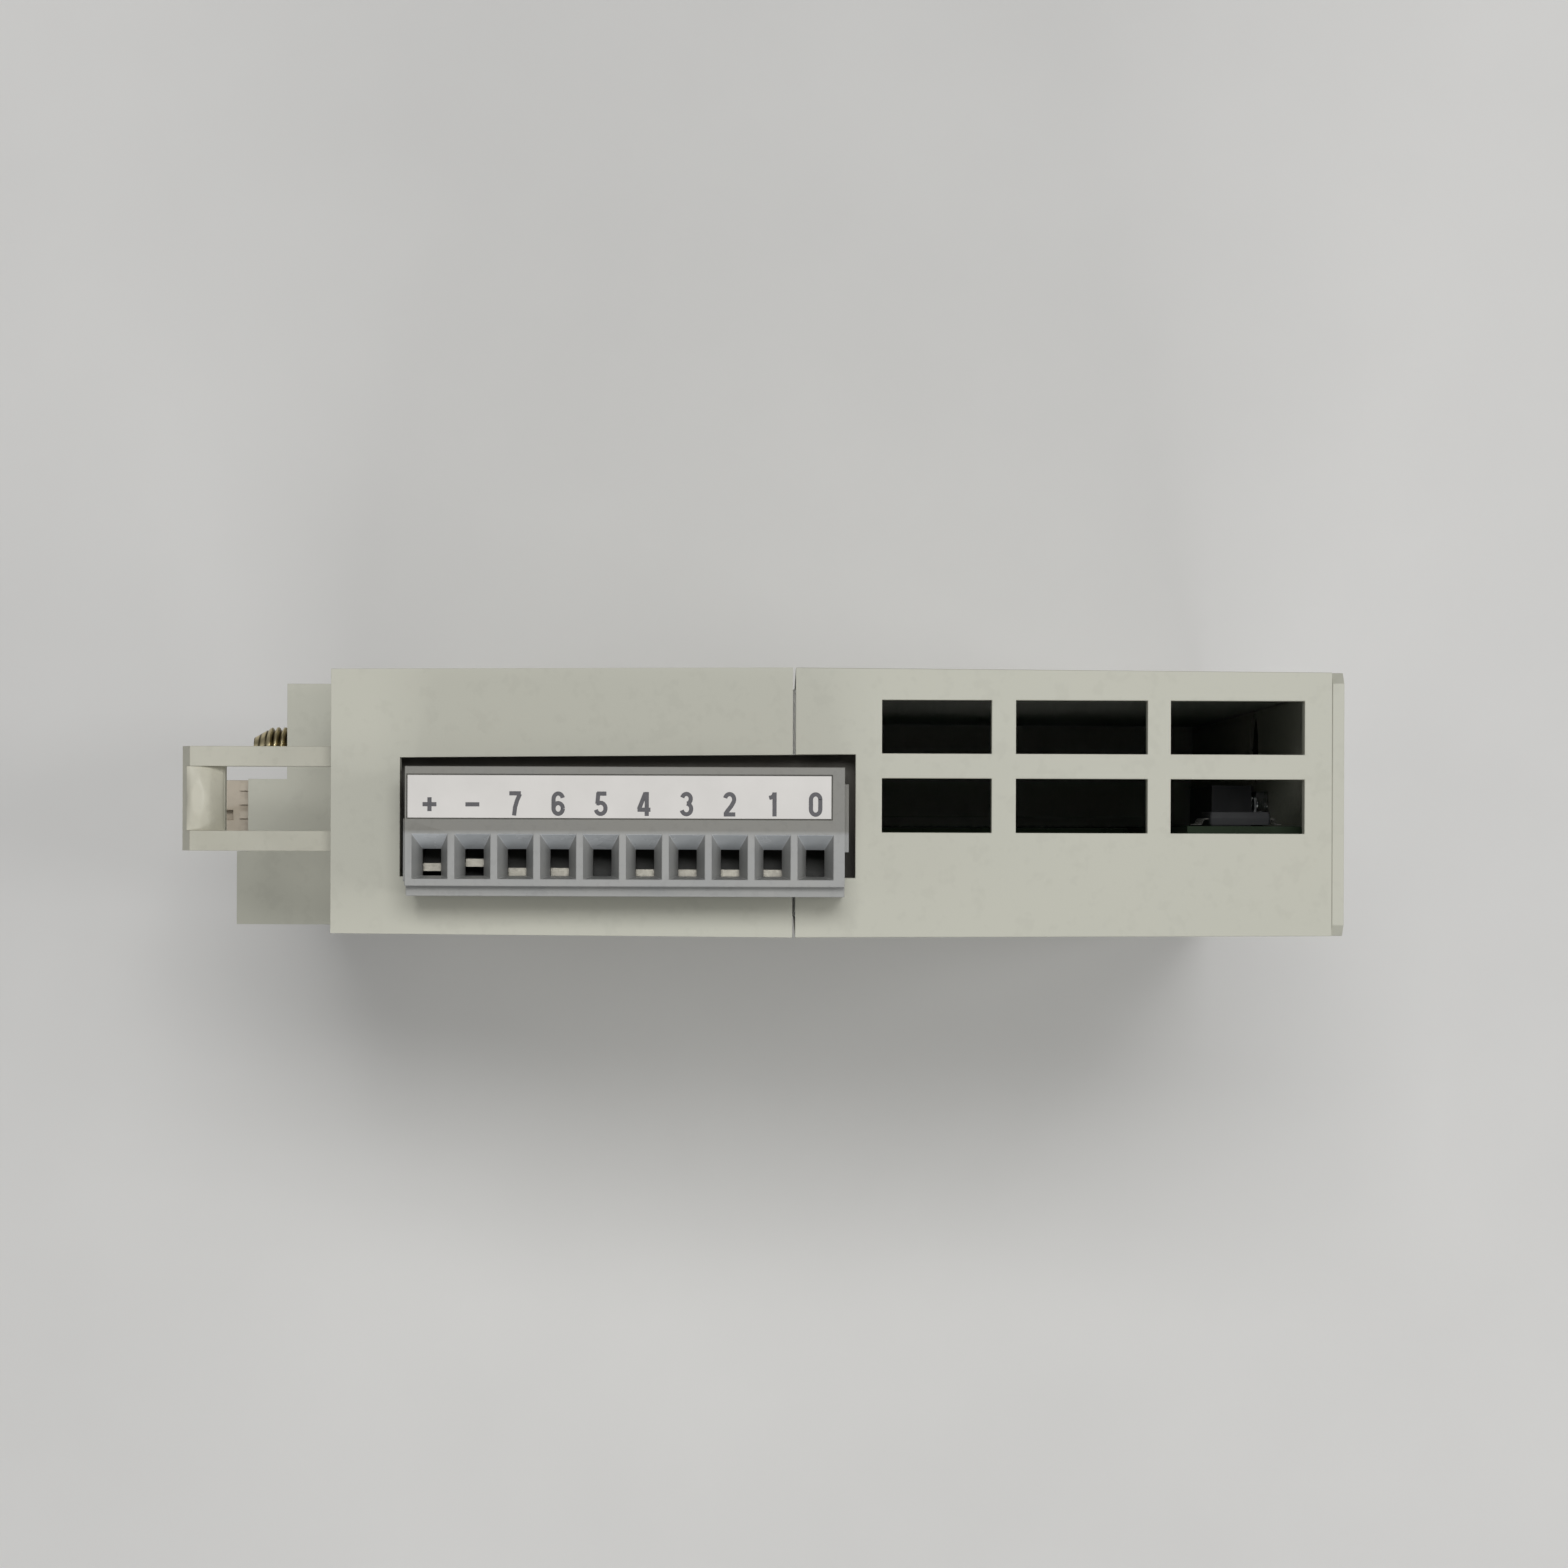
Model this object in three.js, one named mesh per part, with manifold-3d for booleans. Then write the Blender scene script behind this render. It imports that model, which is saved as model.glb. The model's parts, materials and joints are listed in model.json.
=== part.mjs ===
// A slice-type controller module that stands upright, with its pluggable ten-pole terminal block on top.
// Millimetres. X is the width, Y runs from the front panel (-Y) to the carrier side (+Y), Z is up.
// The origin is the bottom centre of the whole object's box.
import * as THREE from 'three';
import { mergeVertices } from 'three/addons/utils/BufferGeometryUtils.js';
import Module from 'manifold-3d';

const wasm = await Module();
wasm.setup();

// Driving dimensions
const faceDepth = 92.3; // front panel to upper rear face
const reach = 15.9; // bus connector behind the upper rear face
const frontY = -(faceDepth + reach) / 2;
const rearY = frontY + faceDepth;
const faceZ = 115; // the housing's top face
const wall = 1.8;
const seamY = rearY - 42.2; // where the two shell halves meet
const seamGap = 0.25;
const seamHalf = 12.3; // half width at the seam, the widest place
const rearHalf = 12.05; // half width at the rear, less the mould's draft
const frontHalf = 12.0;
const gap = 0.1; // between fixed neighbours
const panelThick = 1.0;
const pitch = 3.81; // pole to pole
const poles = 10;
const firstPoleY = -5.9; // pole 0, nearest the front
const plug = { x0: -8.5, x1: 3.05, y0: -8.5, y1: 30.6, top: 124 };
const recess = { x0: -6.85, x1: 4.2, y0: -9.6, y1: 31.9, slant: 0.2 };
const screwZ = 118.5; // terminal screws and clamp cages
const board = { x0: -3.6, x1: -2.0 };
// carrier block behind the housing
const block = { bottom: 14, top: 79, shallow: 8.5, deep: 13.5, deepX: 2.5 };
// captive screw: places along Y are from the rear face
const fixing = { x: 6.1, z: 64, r: 2.0, bore: 2.35, tip: 13.75, tipR: 0.9, point: 1.9, head: -22, headR: 3.3,
  headLong: 2.6, slotDeep: 1.1, slotWide: 1.0, neckR: 1.55, neck: 5.3, neckLong: 1.1 };
const ring = { inner: 1.75, outer: 3.1, start: 5.4, thick: 0.8 }; // retaining ring in the neck
const hook = { x0: -4.58, x1: 5.07, rail: 1.85, z0: 107.6, z1: 110.6, end: 14.35, open: 10.5 };
// how far each clamp cage stands above the window's lower edge, from pole 0 to pole 9
const clampLift = [-0.8, -0.1, -0.1, -0.1, -0.1, -0.8, 0, 0, 0.8, 0.4];
const poleNames = ['0', '1', '2', '3', '4', '5', '6', '7', 'minus', 'plus'];

// Materials
const finish = (color, roughness, metalness = 0) => () =>
  new THREE.MeshStandardMaterial({ color, roughness, metalness, flatShading: true });
const housingPlastic = finish(0xbcbbae, 0.55);
const hookPlastic = finish(0xc3c2b4, 0.5);
const plugPlastic = finish(0x9b9b99, 0.5);
const headerPlastic = finish(0x30322f, 0.6);
const tanPlastic = finish(0xa58a6a, 0.5);
const markerWhite = finish(0xdddbd7, 0.6);
const clearPlastic = finish(0xd8dde0, 0.15);
const boardGreen = finish(0x1e5a33, 0.4);
const chipBlack = finish(0x26272a, 0.5);
const canGrey = finish(0x3a4048, 0.35);
const platedSteel = finish(0xc4c2b8, 0.3, 1);
const tinnedCopper = finish(0xb9b6ac, 0.3, 1);
const brassSteel = finish(0x6f6752, 0.4, 1);

// Closed solids from three.js geometry, joined and cut by manifold-3d
function toSolid(geometry) {
  geometry.deleteAttribute('normal');
  geometry.deleteAttribute('uv');
  const merged = mergeVertices(geometry, 1e-4);
  const mesh = new wasm.Mesh({
    numProp: 3,
    vertProperties: Float32Array.from(merged.attributes.position.array),
    triVerts: Uint32Array.from(merged.index.array),
  });
  return new wasm.Manifold(mesh);
}

function toGeometry(solid) {
  const mesh = solid.getMesh();
  const geometry = new THREE.BufferGeometry();
  geometry.setAttribute('position', new THREE.BufferAttribute(mesh.vertProperties, 3));
  geometry.setIndex(new THREE.BufferAttribute(mesh.triVerts, 1));
  geometry.computeVertexNormals();
  return geometry;
}

// a box from its lowest to its highest corner
function box(x0, x1, y0, y1, z0, z1) {
  const geometry = new THREE.BoxGeometry(x1 - x0, y1 - y0, z1 - z0);
  geometry.translate((x0 + x1) / 2, (y0 + y1) / 2, (z0 + z1) / 2);
  return toSolid(geometry);
}

// an outline in X and Y, raised from z0 to z1
function prism(outline, z0, z1) {
  const shape = new THREE.Shape(outline.map(([x, y]) => new THREE.Vector2(x, y)));
  const geometry = new THREE.ExtrudeGeometry(shape, { depth: z1 - z0, bevelEnabled: false });
  geometry.translate(0, 0, z0);
  return toSolid(geometry);
}

// an outline in Y and Z, run from x0 to x1
function prismAcross(outline, x0, x1) {
  const shape = new THREE.Shape(outline.map(([y, z]) => new THREE.Vector2(y, z)));
  const geometry = new THREE.ExtrudeGeometry(shape, { depth: x1 - x0, bevelEnabled: false });
  geometry.applyMatrix4(new THREE.Matrix4().set(0, 0, 1, x0, 1, 0, 0, 0, 0, 1, 0, 0, 0, 0, 0, 1));
  return toSolid(geometry);
}

// an outline in X and Z, run from y0 to y1
function prismAlong(outline, y0, y1) {
  const shape = new THREE.Shape(outline.map(([x, z]) => new THREE.Vector2(x, z)));
  const geometry = new THREE.ExtrudeGeometry(shape, { depth: y1 - y0, bevelEnabled: false });
  geometry.applyMatrix4(new THREE.Matrix4().set(1, 0, 0, 0, 0, 0, -1, y1, 0, 1, 0, 0, 0, 0, 0, 1));
  return toSolid(geometry);
}

// a turned solid about Y, from a list of [radius, y]
function turnedAlongY(profile, x, z, sides = 16) {
  const geometry = new THREE.LatheGeometry(profile.map(([r, y]) => new THREE.Vector2(r, y)), sides);
  geometry.translate(x, 0, z);
  return toSolid(geometry);
}

// a turned solid about X, from a list of [radius, x]
function turnedAlongX(profile, y, z, sides = 12) {
  const geometry = new THREE.LatheGeometry(profile.map(([r, h]) => new THREE.Vector2(r, h)), sides);
  geometry.rotateZ(-Math.PI / 2);
  geometry.translate(0, y, z);
  return toSolid(geometry);
}

// a four-sided funnel: a large rectangle at the top and a small one at the bottom
function funnel(large, small) {
  const corners = ([x0, x1, y0, y1, z]) => [x0, y0, z, x1, y0, z, x1, y1, z, x0, y1, z];
  const geometry = new THREE.BufferGeometry();
  const positions = [...corners(small), ...corners(large)];
  geometry.setAttribute('position', new THREE.Float32BufferAttribute(positions, 3));
  const sides = [0, 1, 5, 0, 5, 4, 1, 2, 6, 1, 6, 5, 2, 3, 7, 2, 7, 6, 3, 0, 4, 3, 4, 7];
  geometry.setIndex([0, 2, 1, 0, 3, 2, 4, 5, 6, 4, 6, 7, ...sides]);
  return toSolid(geometry);
}

const module = new THREE.Group();

function addPart(name, solid, material) {
  const mesh = new THREE.Mesh(toGeometry(solid), material());
  mesh.name = name;
  module.add(mesh);
}

// half width of the drafted housing at a place along Y
function halfWidth(y) {
  const rear = seamHalf + ((rearHalf - seamHalf) * (y - seamY)) / (rearY - seamY);
  const front = seamHalf + ((frontHalf - seamHalf) * (seamY - y)) / (seamY - frontY);
  return y > seamY ? rear : front;
}

// the drafted outline between two places along Y, set in from the outside
function slice(y0, y1, inset) {
  const a = halfWidth(y0) - inset;
  const b = halfWidth(y1) - inset;
  return [[-a, y0], [a, y0], [b, y1], [-b, y1]];
}

// Ventilation windows of the front half: two rows of three
const ventRows = [[4.5, 9.4], [-2.7, 2.25]];
const ventColumns = [[50.2, 60.2], [62.4, 74.4], [76.5, 88.7]]; // measured from the upper rear face

function ventCutters() {
  const cutters = ventRows.flatMap(([x0, x1]) => ventColumns.map(([near, far]) =>
    box(x0, x1, rearY - far, rearY - near, faceZ - wall - 1, faceZ + 1)));
  return cutters.reduce((all, cutter) => all.add(cutter));
}

// Opening in the top face for the plug, its +X edge slightly slanted with the mould's draft
const plugOpening = prism([
  [recess.x0, recess.y0], [recess.x1 + recess.slant, recess.y0],
  [recess.x1 - recess.slant, recess.y1], [recess.x0, recess.y1],
], faceZ - 2 * wall, faceZ + 1);

// Two ribs that hold the board's lower edge
const ribClear = 0.15;
const ribThick = 1.2;
const ribTop = 6;

function boardRibs(y0, y1) {
  const low = box(board.x0 - ribClear - ribThick, board.x0 - ribClear, y0, y1, wall - 0.2, ribTop);
  const high = box(board.x1 + ribClear, board.x1 + ribClear + ribThick, y0, y1, wall - 0.2, ribTop);
  return low.add(high);
}

// the boss that guides the captive screw, with the ring's chamber in it
const boss = { r: 4.1, chamberR: 3.4 };
// the connector's opening in the carrier block, and a notch in the block's top that shows the connector's end
const socket = { x0: -4.75, front: 5.6, z0: 23.8, z1: 76.2, notchDeep: 1.1, notchZ: 70 };
const railClear = { x: 0.25, z: 0.55 };

function makeRearHousing() {
  const y0 = seamY + seamGap / 2;
  const innerRear = rearY - wall;
  const { bottom, top, shallow, deep, deepX } = block;
  const shallowY = rearY + shallow;
  const deepY = rearY + deep;
  let shell = prism(slice(y0, rearY, 0), 0, faceZ);
  shell = shell.add(box(-rearHalf, rearHalf, rearY - 1, shallowY, bottom, top));
  shell = shell.add(box(-rearHalf, deepX, rearY, deepY, bottom, top));
  // the hollow of the shell, of the shallow block, and of the deep block, which the connector closes
  shell = shell.subtract(prism(slice(y0 - 1, innerRear, wall), wall, faceZ - wall));
  const blockHalf = rearHalf - wall;
  shell = shell.subtract(
    box(-blockHalf, blockHalf, innerRear - 1, shallowY - wall, bottom + wall, top - wall));
  shell = shell.subtract(
    box(-blockHalf, deepX + gap, innerRear, deepY - wall, bottom + wall, top - wall));
  shell = shell.add(boardRibs(y0 + 4, innerRear + 0.2));
  const { x, z } = fixing;
  const bossEnd = shallowY - 0.2;
  shell = shell.add(turnedAlongY([[0, innerRear], [boss.r, innerRear], [boss.r, bossEnd],
    [0, bossEnd]], x, z));
  shell = shell.subtract(box(socket.x0, deepX + gap / 2, rearY + socket.front, deepY + 1,
    socket.z0, socket.z1));
  shell = shell.subtract(box(socket.x0, deepX + 1, deepY - socket.notchDeep, deepY + 1,
    socket.notchZ, top + 1));
  shell = shell.subtract(turnedAlongY([[0, innerRear - 1], [fixing.bore, innerRear - 1],
    [fixing.bore, shallowY + 1], [0, shallowY + 1]], x, z));
  shell = shell.subtract(turnedAlongY([[0, innerRear + wall], [boss.chamberR, innerRear + wall],
    [boss.chamberR, shallowY - wall], [0, shallowY - wall]], x, z));
  // slots for the hook's rails
  for (const railX of [hook.x0, hook.x1 - hook.rail]) {
    shell = shell.subtract(box(railX - railClear.x, railX + hook.rail + railClear.x, innerRear - 1, rearY + 1,
      hook.z0 - railClear.z, hook.z1 + railClear.z));
  }
  for (const window of snapBoxes(0, seamHalf + 1)) {
    shell = shell.subtract(window);
  }
  return shell.subtract(plugOpening);
}

// Snap windows in the rear half's side walls, or with a clearance, the tabs of the front half that fill them
const snapCentres = [24, 92];
const snapLength = 10;
const snapFrom = 1.0; // from the seam to the window, and to its far edge
const snapTo = 2.8;

function snapBoxes(clear, reachOut) {
  const y0 = seamY + snapFrom + clear;
  const y1 = seamY + snapTo - clear;
  const inside = seamHalf - wall - 0.5;
  return snapCentres.flatMap((z) => [
    box(inside, reachOut, y0, y1, z - snapLength / 2 + clear, z + snapLength / 2 - clear),
    box(-reachOut, -inside, y0, y1, z - snapLength / 2 + clear, z + snapLength / 2 - clear),
  ]);
}

function makeFrontHousing() {
  const y0 = frontY + panelThick + gap;
  const y1 = seamY - seamGap / 2;
  let shell = prism(slice(y0, y1, 0), 0, faceZ);
  shell = shell.subtract(prism(slice(y0 - 1, y1 + 1, wall), wall, faceZ - wall));
  // a lip that reaches inside the rear half and shuts the seam
  const lipIn = 4;
  const lipOut = 3;
  const lipThick = 1.0;
  const clear = 0.12;
  const outside = wall + clear;
  let lip = prism(slice(y1 - lipIn, y1 + lipOut, outside), wall + clear, faceZ - wall - clear);
  lip = lip.add(prism(slice(y1 - lipIn, y1 - 0.5, wall - 0.2), wall - 0.2, faceZ - wall + 0.2));
  lip = lip.subtract(prism(slice(y1 - lipIn - 1, y1 + lipOut + 1, outside + lipThick),
    outside + lipThick, faceZ - outside - lipThick));
  shell = shell.add(lip);
  for (const tab of snapBoxes(0.2, seamHalf - 0.6)) {
    shell = shell.add(tab);
  }
  shell = shell.add(boardRibs(y0 + 4, y1 - lipIn + 1));
  shell = shell.subtract(ventCutters());
  return shell.subtract(plugOpening.add(box(recess.x0, recess.x1, recess.y0, recess.y1,
    faceZ - 6, faceZ)));
}

// The front panel's windows: a label pocket, eight lights and the screwdriver's way to the captive screw
const labelPocket = { x0: -9.5, x1: 9.5, z0: 8, z1: 54 };
const lights = { x0: -0.6, x1: 1.0, z0: 58, step: 2.4, height: 1.4, count: 8 };
const panelInner = 1.2;
const driverHoleR = 3.8;
const lightIndexes = [...Array(lights.count).keys()];

function makeFrontPanel() {
  const corner = 1.0;
  const w = frontHalf;
  const outline = [[-w + corner, 0], [w - corner, 0], [w, corner], [w, faceZ - corner],
    [w - corner, faceZ], [-w + corner, faceZ], [-w, faceZ - corner], [-w, corner]];
  let panel = prismAlong(outline, frontY, frontY + panelThick);
  const inner = w - wall - 0.15;
  panel = panel.add(box(-inner, inner, frontY + panelThick - 0.2, frontY + panelThick + panelInner,
    wall + 0.15, faceZ - wall - 0.15));
  panel = panel.subtract(box(labelPocket.x0, labelPocket.x1, frontY - 1, frontY + 1.2,
    labelPocket.z0, labelPocket.z1));
  for (const i of lightIndexes) {
    const z = lights.z0 + i * lights.step;
    panel = panel.subtract(box(lights.x0 - gap, lights.x1 + gap, frontY - 1, frontY + 3,
      z - gap, z + lights.height + gap));
  }
  return panel.subtract(turnedAlongY([[0, frontY - 1], [driverHoleR, frontY - 1], [driverHoleR, frontY + 3],
    [0, frontY + 3]], fixing.x, fixing.z));
}

function makeLightGuide() {
  const y0 = frontY + panelThick + panelInner + gap;
  let guide = box(lights.x0 - 0.6, lights.x1 + 0.6, y0, y0 + 1.2, lights.z0 - 1,
    lights.z0 + lights.count * lights.step);
  for (const i of lightIndexes) {
    const z = lights.z0 + i * lights.step;
    guide = guide.add(box(lights.x0, lights.x1, frontY, y0 + 0.5, z, z + lights.height));
  }
  return guide;
}

// a sheet in the label pocket, from one depth behind the panel's face to another
function makeLabelSheet(d0, d1) {
  const { x0, x1, z0, z1 } = labelPocket;
  return box(x0 + gap, x1 - gap, frontY + d0, frontY + d1, z0 + gap, z1 - gap);
}

// The loop behind the housing: two rails, a root bar inside the rear wall, and a wedge-shaped end bar
function makeCarrierHook() {
  const { x0, x1, rail, z0, z1, end, open } = hook;
  const rootY = rearY - 5.0;
  const outerY = rearY + end;
  const innerY = rearY + open;
  let loop = box(x0, x0 + rail, rootY, innerY + 0.5, z0, z1);
  loop = loop.add(box(x1 - rail, x1, rootY, innerY + 0.5, z0, z1));
  loop = loop.add(box(x0, x1, rootY, rearY - 2.2, z0, z1));
  const cheek = [[innerY, z0], [outerY - 0.35, z0], [outerY, z0 + 0.4], [outerY, z1 - 1.3],
    [outerY - 0.85, z1], [innerY, z1]];
  loop = loop.add(prismAcross(cheek, x0, x0 + rail));
  loop = loop.add(prismAcross(cheek, x1 - rail, x1));
  const ramp = [[innerY, z0], [outerY - 0.35, z0], [outerY, z0 + 0.4], [outerY, z1 - 1.3],
    [outerY - 0.85, z1 - 0.15], [outerY - 1.8, z1 - 0.3], [outerY - 2.7, z1 - 0.8],
    [innerY + 0.5, z1 - 1.5], [innerY, z1 - 2.0]];
  return loop.add(prismAcross(ramp, x0 + rail - 0.2, x1 - rail + 0.2));
}

const boardHeights = { foot: 3.2, tabZ0: 22, tabZ1: 76, header: 102.2, middle: 44, ear: 107.5 };

// The board stands on edge. Its top carries the terminal header, an ear reaches up behind the panel,
// and a tab reaches into the carrier block
function makeCircuitBoard() {
  const y0 = frontY + 2.6;
  const inner = rearY - wall - 0.4;
  const headerY = recess.y0 - 2;
  const tabEnd = rearY + 5.6;
  const earY = frontY + 13.5;
  const { foot, tabZ0, tabZ1, header, middle, ear } = boardHeights;
  const outline = [[y0, foot], [inner, foot], [inner, tabZ0], [tabEnd, tabZ0], [tabEnd, tabZ1],
    [inner, tabZ1], [inner, header], [headerY, header], [headerY, middle], [earY, middle], [earY, ear], [y0, ear]];
  return prismAcross(outline, board.x0, board.x1);
}

// Bus connector: two rows of contact slots in the mating face, and a polarising notch at the top
const bus = { x0: -4.6, x1: 2.4, y0: rearY + 5.8, y1: rearY + reach, z0: 24, z1: 76, rowX: [-3.7, -0.5],
  slots: 13, step: 3.6, slotWide: 1.8, slotHigh: 1.6, slotDeep: 4 };
const notch = { x0: -1.6, x1: -0.6, deepY: 1.6, deepZ: 1.4 };

function makeBusConnector() {
  let body = box(bus.x0, bus.x1, bus.y0, bus.y1, bus.z0, bus.z1);
  for (let i = 0; i < bus.slots; i += 1) {
    const z = (bus.z0 + bus.z1) / 2 + (i - (bus.slots - 1) / 2) * bus.step;
    for (const x of bus.rowX) {
      body = body.subtract(box(x, x + bus.slotWide, bus.y1 - bus.slotDeep, bus.y1 + 1,
        z - bus.slotHigh / 2, z + bus.slotHigh / 2));
    }
  }
  return body.subtract(box(notch.x0, notch.x1, bus.y1 - notch.deepY, bus.y1 + 1,
    bus.z1 - notch.deepZ, bus.z1 + 1));
}

const headerBox = { x0: -6.5, x1: 2.6, y0: -8.4, y1: 30.5, z0: 102.4, z1: 111.7, floor: 1.8, thin: 0.9,
  thick: 1.3 };
const poleIndexes = [...Array(poles).keys()];
const poleY = (i) => firstPoleY + i * pitch;
const pin = { x0: -1.9, x1: -1.1, z0: 96, z1: 110 };

function makeTerminalHeader() {
  const { x0, x1, y0, y1, z0, z1, floor, thin, thick } = headerBox;
  let header = box(x0, x1, y0, y1, z0, z1);
  header = header.subtract(box(x0 + thin, x1 - thick, y0 + thin, y1 - thin, z0 + floor, z1 + 1));
  for (const i of poleIndexes) {
    const y = poleY(i);
    header = header.subtract(box(pin.x0 - gap, pin.x1 + gap, y - 0.5, y + 0.5, z0 - 1, z0 + 2));
  }
  return header;
}

// The plug: stepped at the overhanging -X side, with a funnel, wire window, clamp chamber,
// screw shaft and contact slot for each pole
const windowHalf = 0.83;
const windowX = [-6.7, -4.3];
const funnelX = [-6.97, -2.97];
const chamber = { x0: -7.75, x1: 1.2, half: 1.6, z0: 116.3, z1: 120.6 };
const shaftR = 1.7;
const forkSlot = { x0: -2.95, x1: -0.05, half: 1.05, z0: 105, z1: 116.5 };
const strip = { x0: -1.54, x1: 2.26, y0: plug.y0 + 1.2, y1: plug.y1 - 0.25, thick: 0.2 };

function makeTerminalPlug() {
  const { x0, x1, y0, y1, top } = plug;
  let body = prismAlong([[-6.6, 112], [x1, 112], [x1, top], [-7.6, top], [-7.6, 122.8],
    [x0, 122.8], [x0, 115.5], [-6.6, 115.5]], y0, y1);
  body = body.add(box(-5.4, 1.0, y0 + 1.3, y1 - 1.3, 105.8, 112.2));
  body = body.add(box(-4.5, 1.6, y0 - 0.4, y1 - 1, 112, 121));
  body = body.add(box(-7.2, -1.6, y1 - 1, y1 + 0.25, 115.5, 122.8));
  // shallow bed for the marker strip
  body = body.subtract(box(strip.x0 - gap, strip.x1 + gap, strip.y0 - gap, strip.y1 + gap,
    top - strip.thick - 0.05, top + 1));
  for (const i of poleIndexes) {
    const y = poleY(i);
    const mouth = [...funnelX, y - 1.6, y + 1.6, top + 0.001];
    const throat = [...windowX, y - windowHalf, y + windowHalf, top - 2.6];
    body = body.subtract(funnel(mouth, throat));
    body = body.subtract(box(...windowX, y - windowHalf, y + windowHalf, chamber.z1 - 0.2, top - 2.5));
    body = body.subtract(box(chamber.x0, chamber.x1, y - chamber.half, y + chamber.half,
      chamber.z0, chamber.z1));
    body = body.subtract(turnedAlongX([[0, 1.0], [shaftR, 1.0], [shaftR, x1 + 1], [0, x1 + 1]], y, screwZ));
    body = body.subtract(box(forkSlot.x0, forkSlot.x1, y - forkSlot.half, y + forkSlot.half,
      forkSlot.z0, forkSlot.z1));
    body = body.subtract(box(forkSlot.x0 - 0.9, forkSlot.x0 + 0.15, y - forkSlot.half, y + forkSlot.half,
      forkSlot.z1 - 1.8, forkSlot.z1));
  }
  return body;
}

// A clamp cage: its lower plate closes on the wire, its upper plate is threaded for the screw
const cage = { x0: -6.7, x1: -1.3, half: 1.42, z0: 116.7, z1: 120.3 };

function makeClamp(y, lift) {
  let body = box(cage.x0, cage.x1, y - cage.half, y + cage.half, cage.z0, cage.z1);
  body = body.subtract(box(-6.0, -2.1, y - 1.08, y + 1.08, cage.z0 - 1, cage.z1 + 1));
  body = body.subtract(turnedAlongX([[0, -3], [1.17, -3], [1.17, 0], [0, 0]], y, screwZ, 10));
  return body.translate([lift, 0, 0]);
}

// A slotted M2 screw, head outwards
function makeTerminalScrew(y) {
  const screw = turnedAlongX([[0, -2.9], [0.75, -2.9], [1.0, -2.6], [1.0, 1.45], [1.5, 1.45],
    [1.5, 2.6], [1.3, 2.8], [0, 2.8]], y, screwZ);
  return screw.subtract(box(2.2, 3.5, y - 2, y + 2, screwZ - 0.25, screwZ + 0.25));
}

// A contact: a bar through the clamp cage, and a fork that grips the header's pin
function makeContact(y) {
  const outline = [[-3.6, 120.5], [-3.6, 114.9], [-2.7, 114.9], [-2.7, 106.6], [-2.1, 106.6],
    [-2.1, 114.2], [-0.9, 114.2], [-0.9, 106.6], [-0.3, 106.6], [-0.3, 115.2], [-3.0, 115.2],
    [-3.0, 120.5]];
  return prismAlong(outline, y - 0.85, y + 0.85);
}

function makeCaptiveScrew() {
  const { x, z, r, tip, tipR, point, head, headR, headLong, slotDeep, slotWide } = fixing;
  const { neckR, neck, neckLong } = fixing;
  const headY = rearY + head;
  const shankY = headY + headLong;
  const neckY = rearY + neck - gap;
  const threadY = rearY + neck + neckLong;
  const tipY = rearY + tip;
  const screw = turnedAlongY([[0, headY], [headR - 0.3, headY], [headR, headY + 0.4], [headR, shankY],
    [r, shankY], [r, neckY], [neckR, neckY], [neckR, threadY], [r, threadY],
    [r, tipY - point], [tipR, tipY], [0, tipY]], x, z, 24);
  return screw.subtract(box(x - headR - 1, x + headR + 1, headY - 1, headY + slotDeep,
    z - slotWide / 2, z + slotWide / 2));
}

function makeRetainingRing() {
  const { inner, outer, start, thick } = ring;
  const y0 = rearY + start;
  const y1 = y0 + thick;
  return turnedAlongY([[inner, y0], [outer, y0], [outer, y1], [inner, y1], [inner, y0]],
    fixing.x, fixing.z, 20);
}

// Components on the board's +X side, as boxes of X to, Y from and to, Z from and to
const boardFace = board.x1 + gap;
const chips = {
  led_block: [2.2, frontY + 4.0, frontY + 8.0, 56.5, 77.5],
  driver_chip: [-0.65, frontY + 5.7, frontY + 11.4, 99, 107],
  logic_chip: [1.6, 14, 24, 50, 80],
  optocoupler_bank: [1.8, -10, -3, 50, 92],
};
const can = { y: 12, z: 40, r: 4.0, high: 10, base: 3.9, crimp: 3.7 };

addPart('rear_housing', makeRearHousing(), housingPlastic);
addPart('front_housing', makeFrontHousing(), housingPlastic);
addPart('front_panel', makeFrontPanel(), housingPlastic);
addPart('label_card', makeLabelSheet(0.9, 1.1), markerWhite);
addPart('label_cover', makeLabelSheet(0.2, 0.8), clearPlastic);
addPart('led_light_guide', makeLightGuide(), clearPlastic);
addPart('carrier_hook', makeCarrierHook(), hookPlastic);
addPart('circuit_board', makeCircuitBoard(), boardGreen);
addPart('bus_connector', makeBusConnector(), tanPlastic);
addPart('terminal_header', makeTerminalHeader(), headerPlastic);
addPart('terminal_plug', makeTerminalPlug(), plugPlastic);
addPart('marker_strip', box(strip.x0, strip.x1, strip.y0, strip.y1, plug.top - strip.thick, plug.top),
  markerWhite);
addPart('captive_screw', makeCaptiveScrew(), brassSteel);
addPart('retaining_ring', makeRetainingRing(), platedSteel);
for (const [name, corners] of Object.entries(chips)) {
  addPart(name, box(boardFace, ...corners), chipBlack);
}
addPart('capacitor', turnedAlongX([[0, boardFace], [can.base, boardFace], [can.r, boardFace + 0.3],
  [can.r, boardFace + can.high - 0.4], [can.crimp, boardFace + can.high], [0, boardFace + can.high]],
can.y, can.z, 20), canGrey);

for (const i of poleIndexes) {
  const y = poleY(i);
  const name = poleNames[i];
  addPart(`header_pin_${name}`, box(pin.x0, pin.x1, y - 0.4, y + 0.4, pin.z0, pin.z1), tinnedCopper);
  addPart(`contact_${name}`, makeContact(y), tinnedCopper);
  addPart(`clamp_${name}`, makeClamp(y, clampLift[i]), platedSteel);
  addPart(`terminal_screw_${name}`, makeTerminalScrew(y), platedSteel);
}

export default module;
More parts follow.
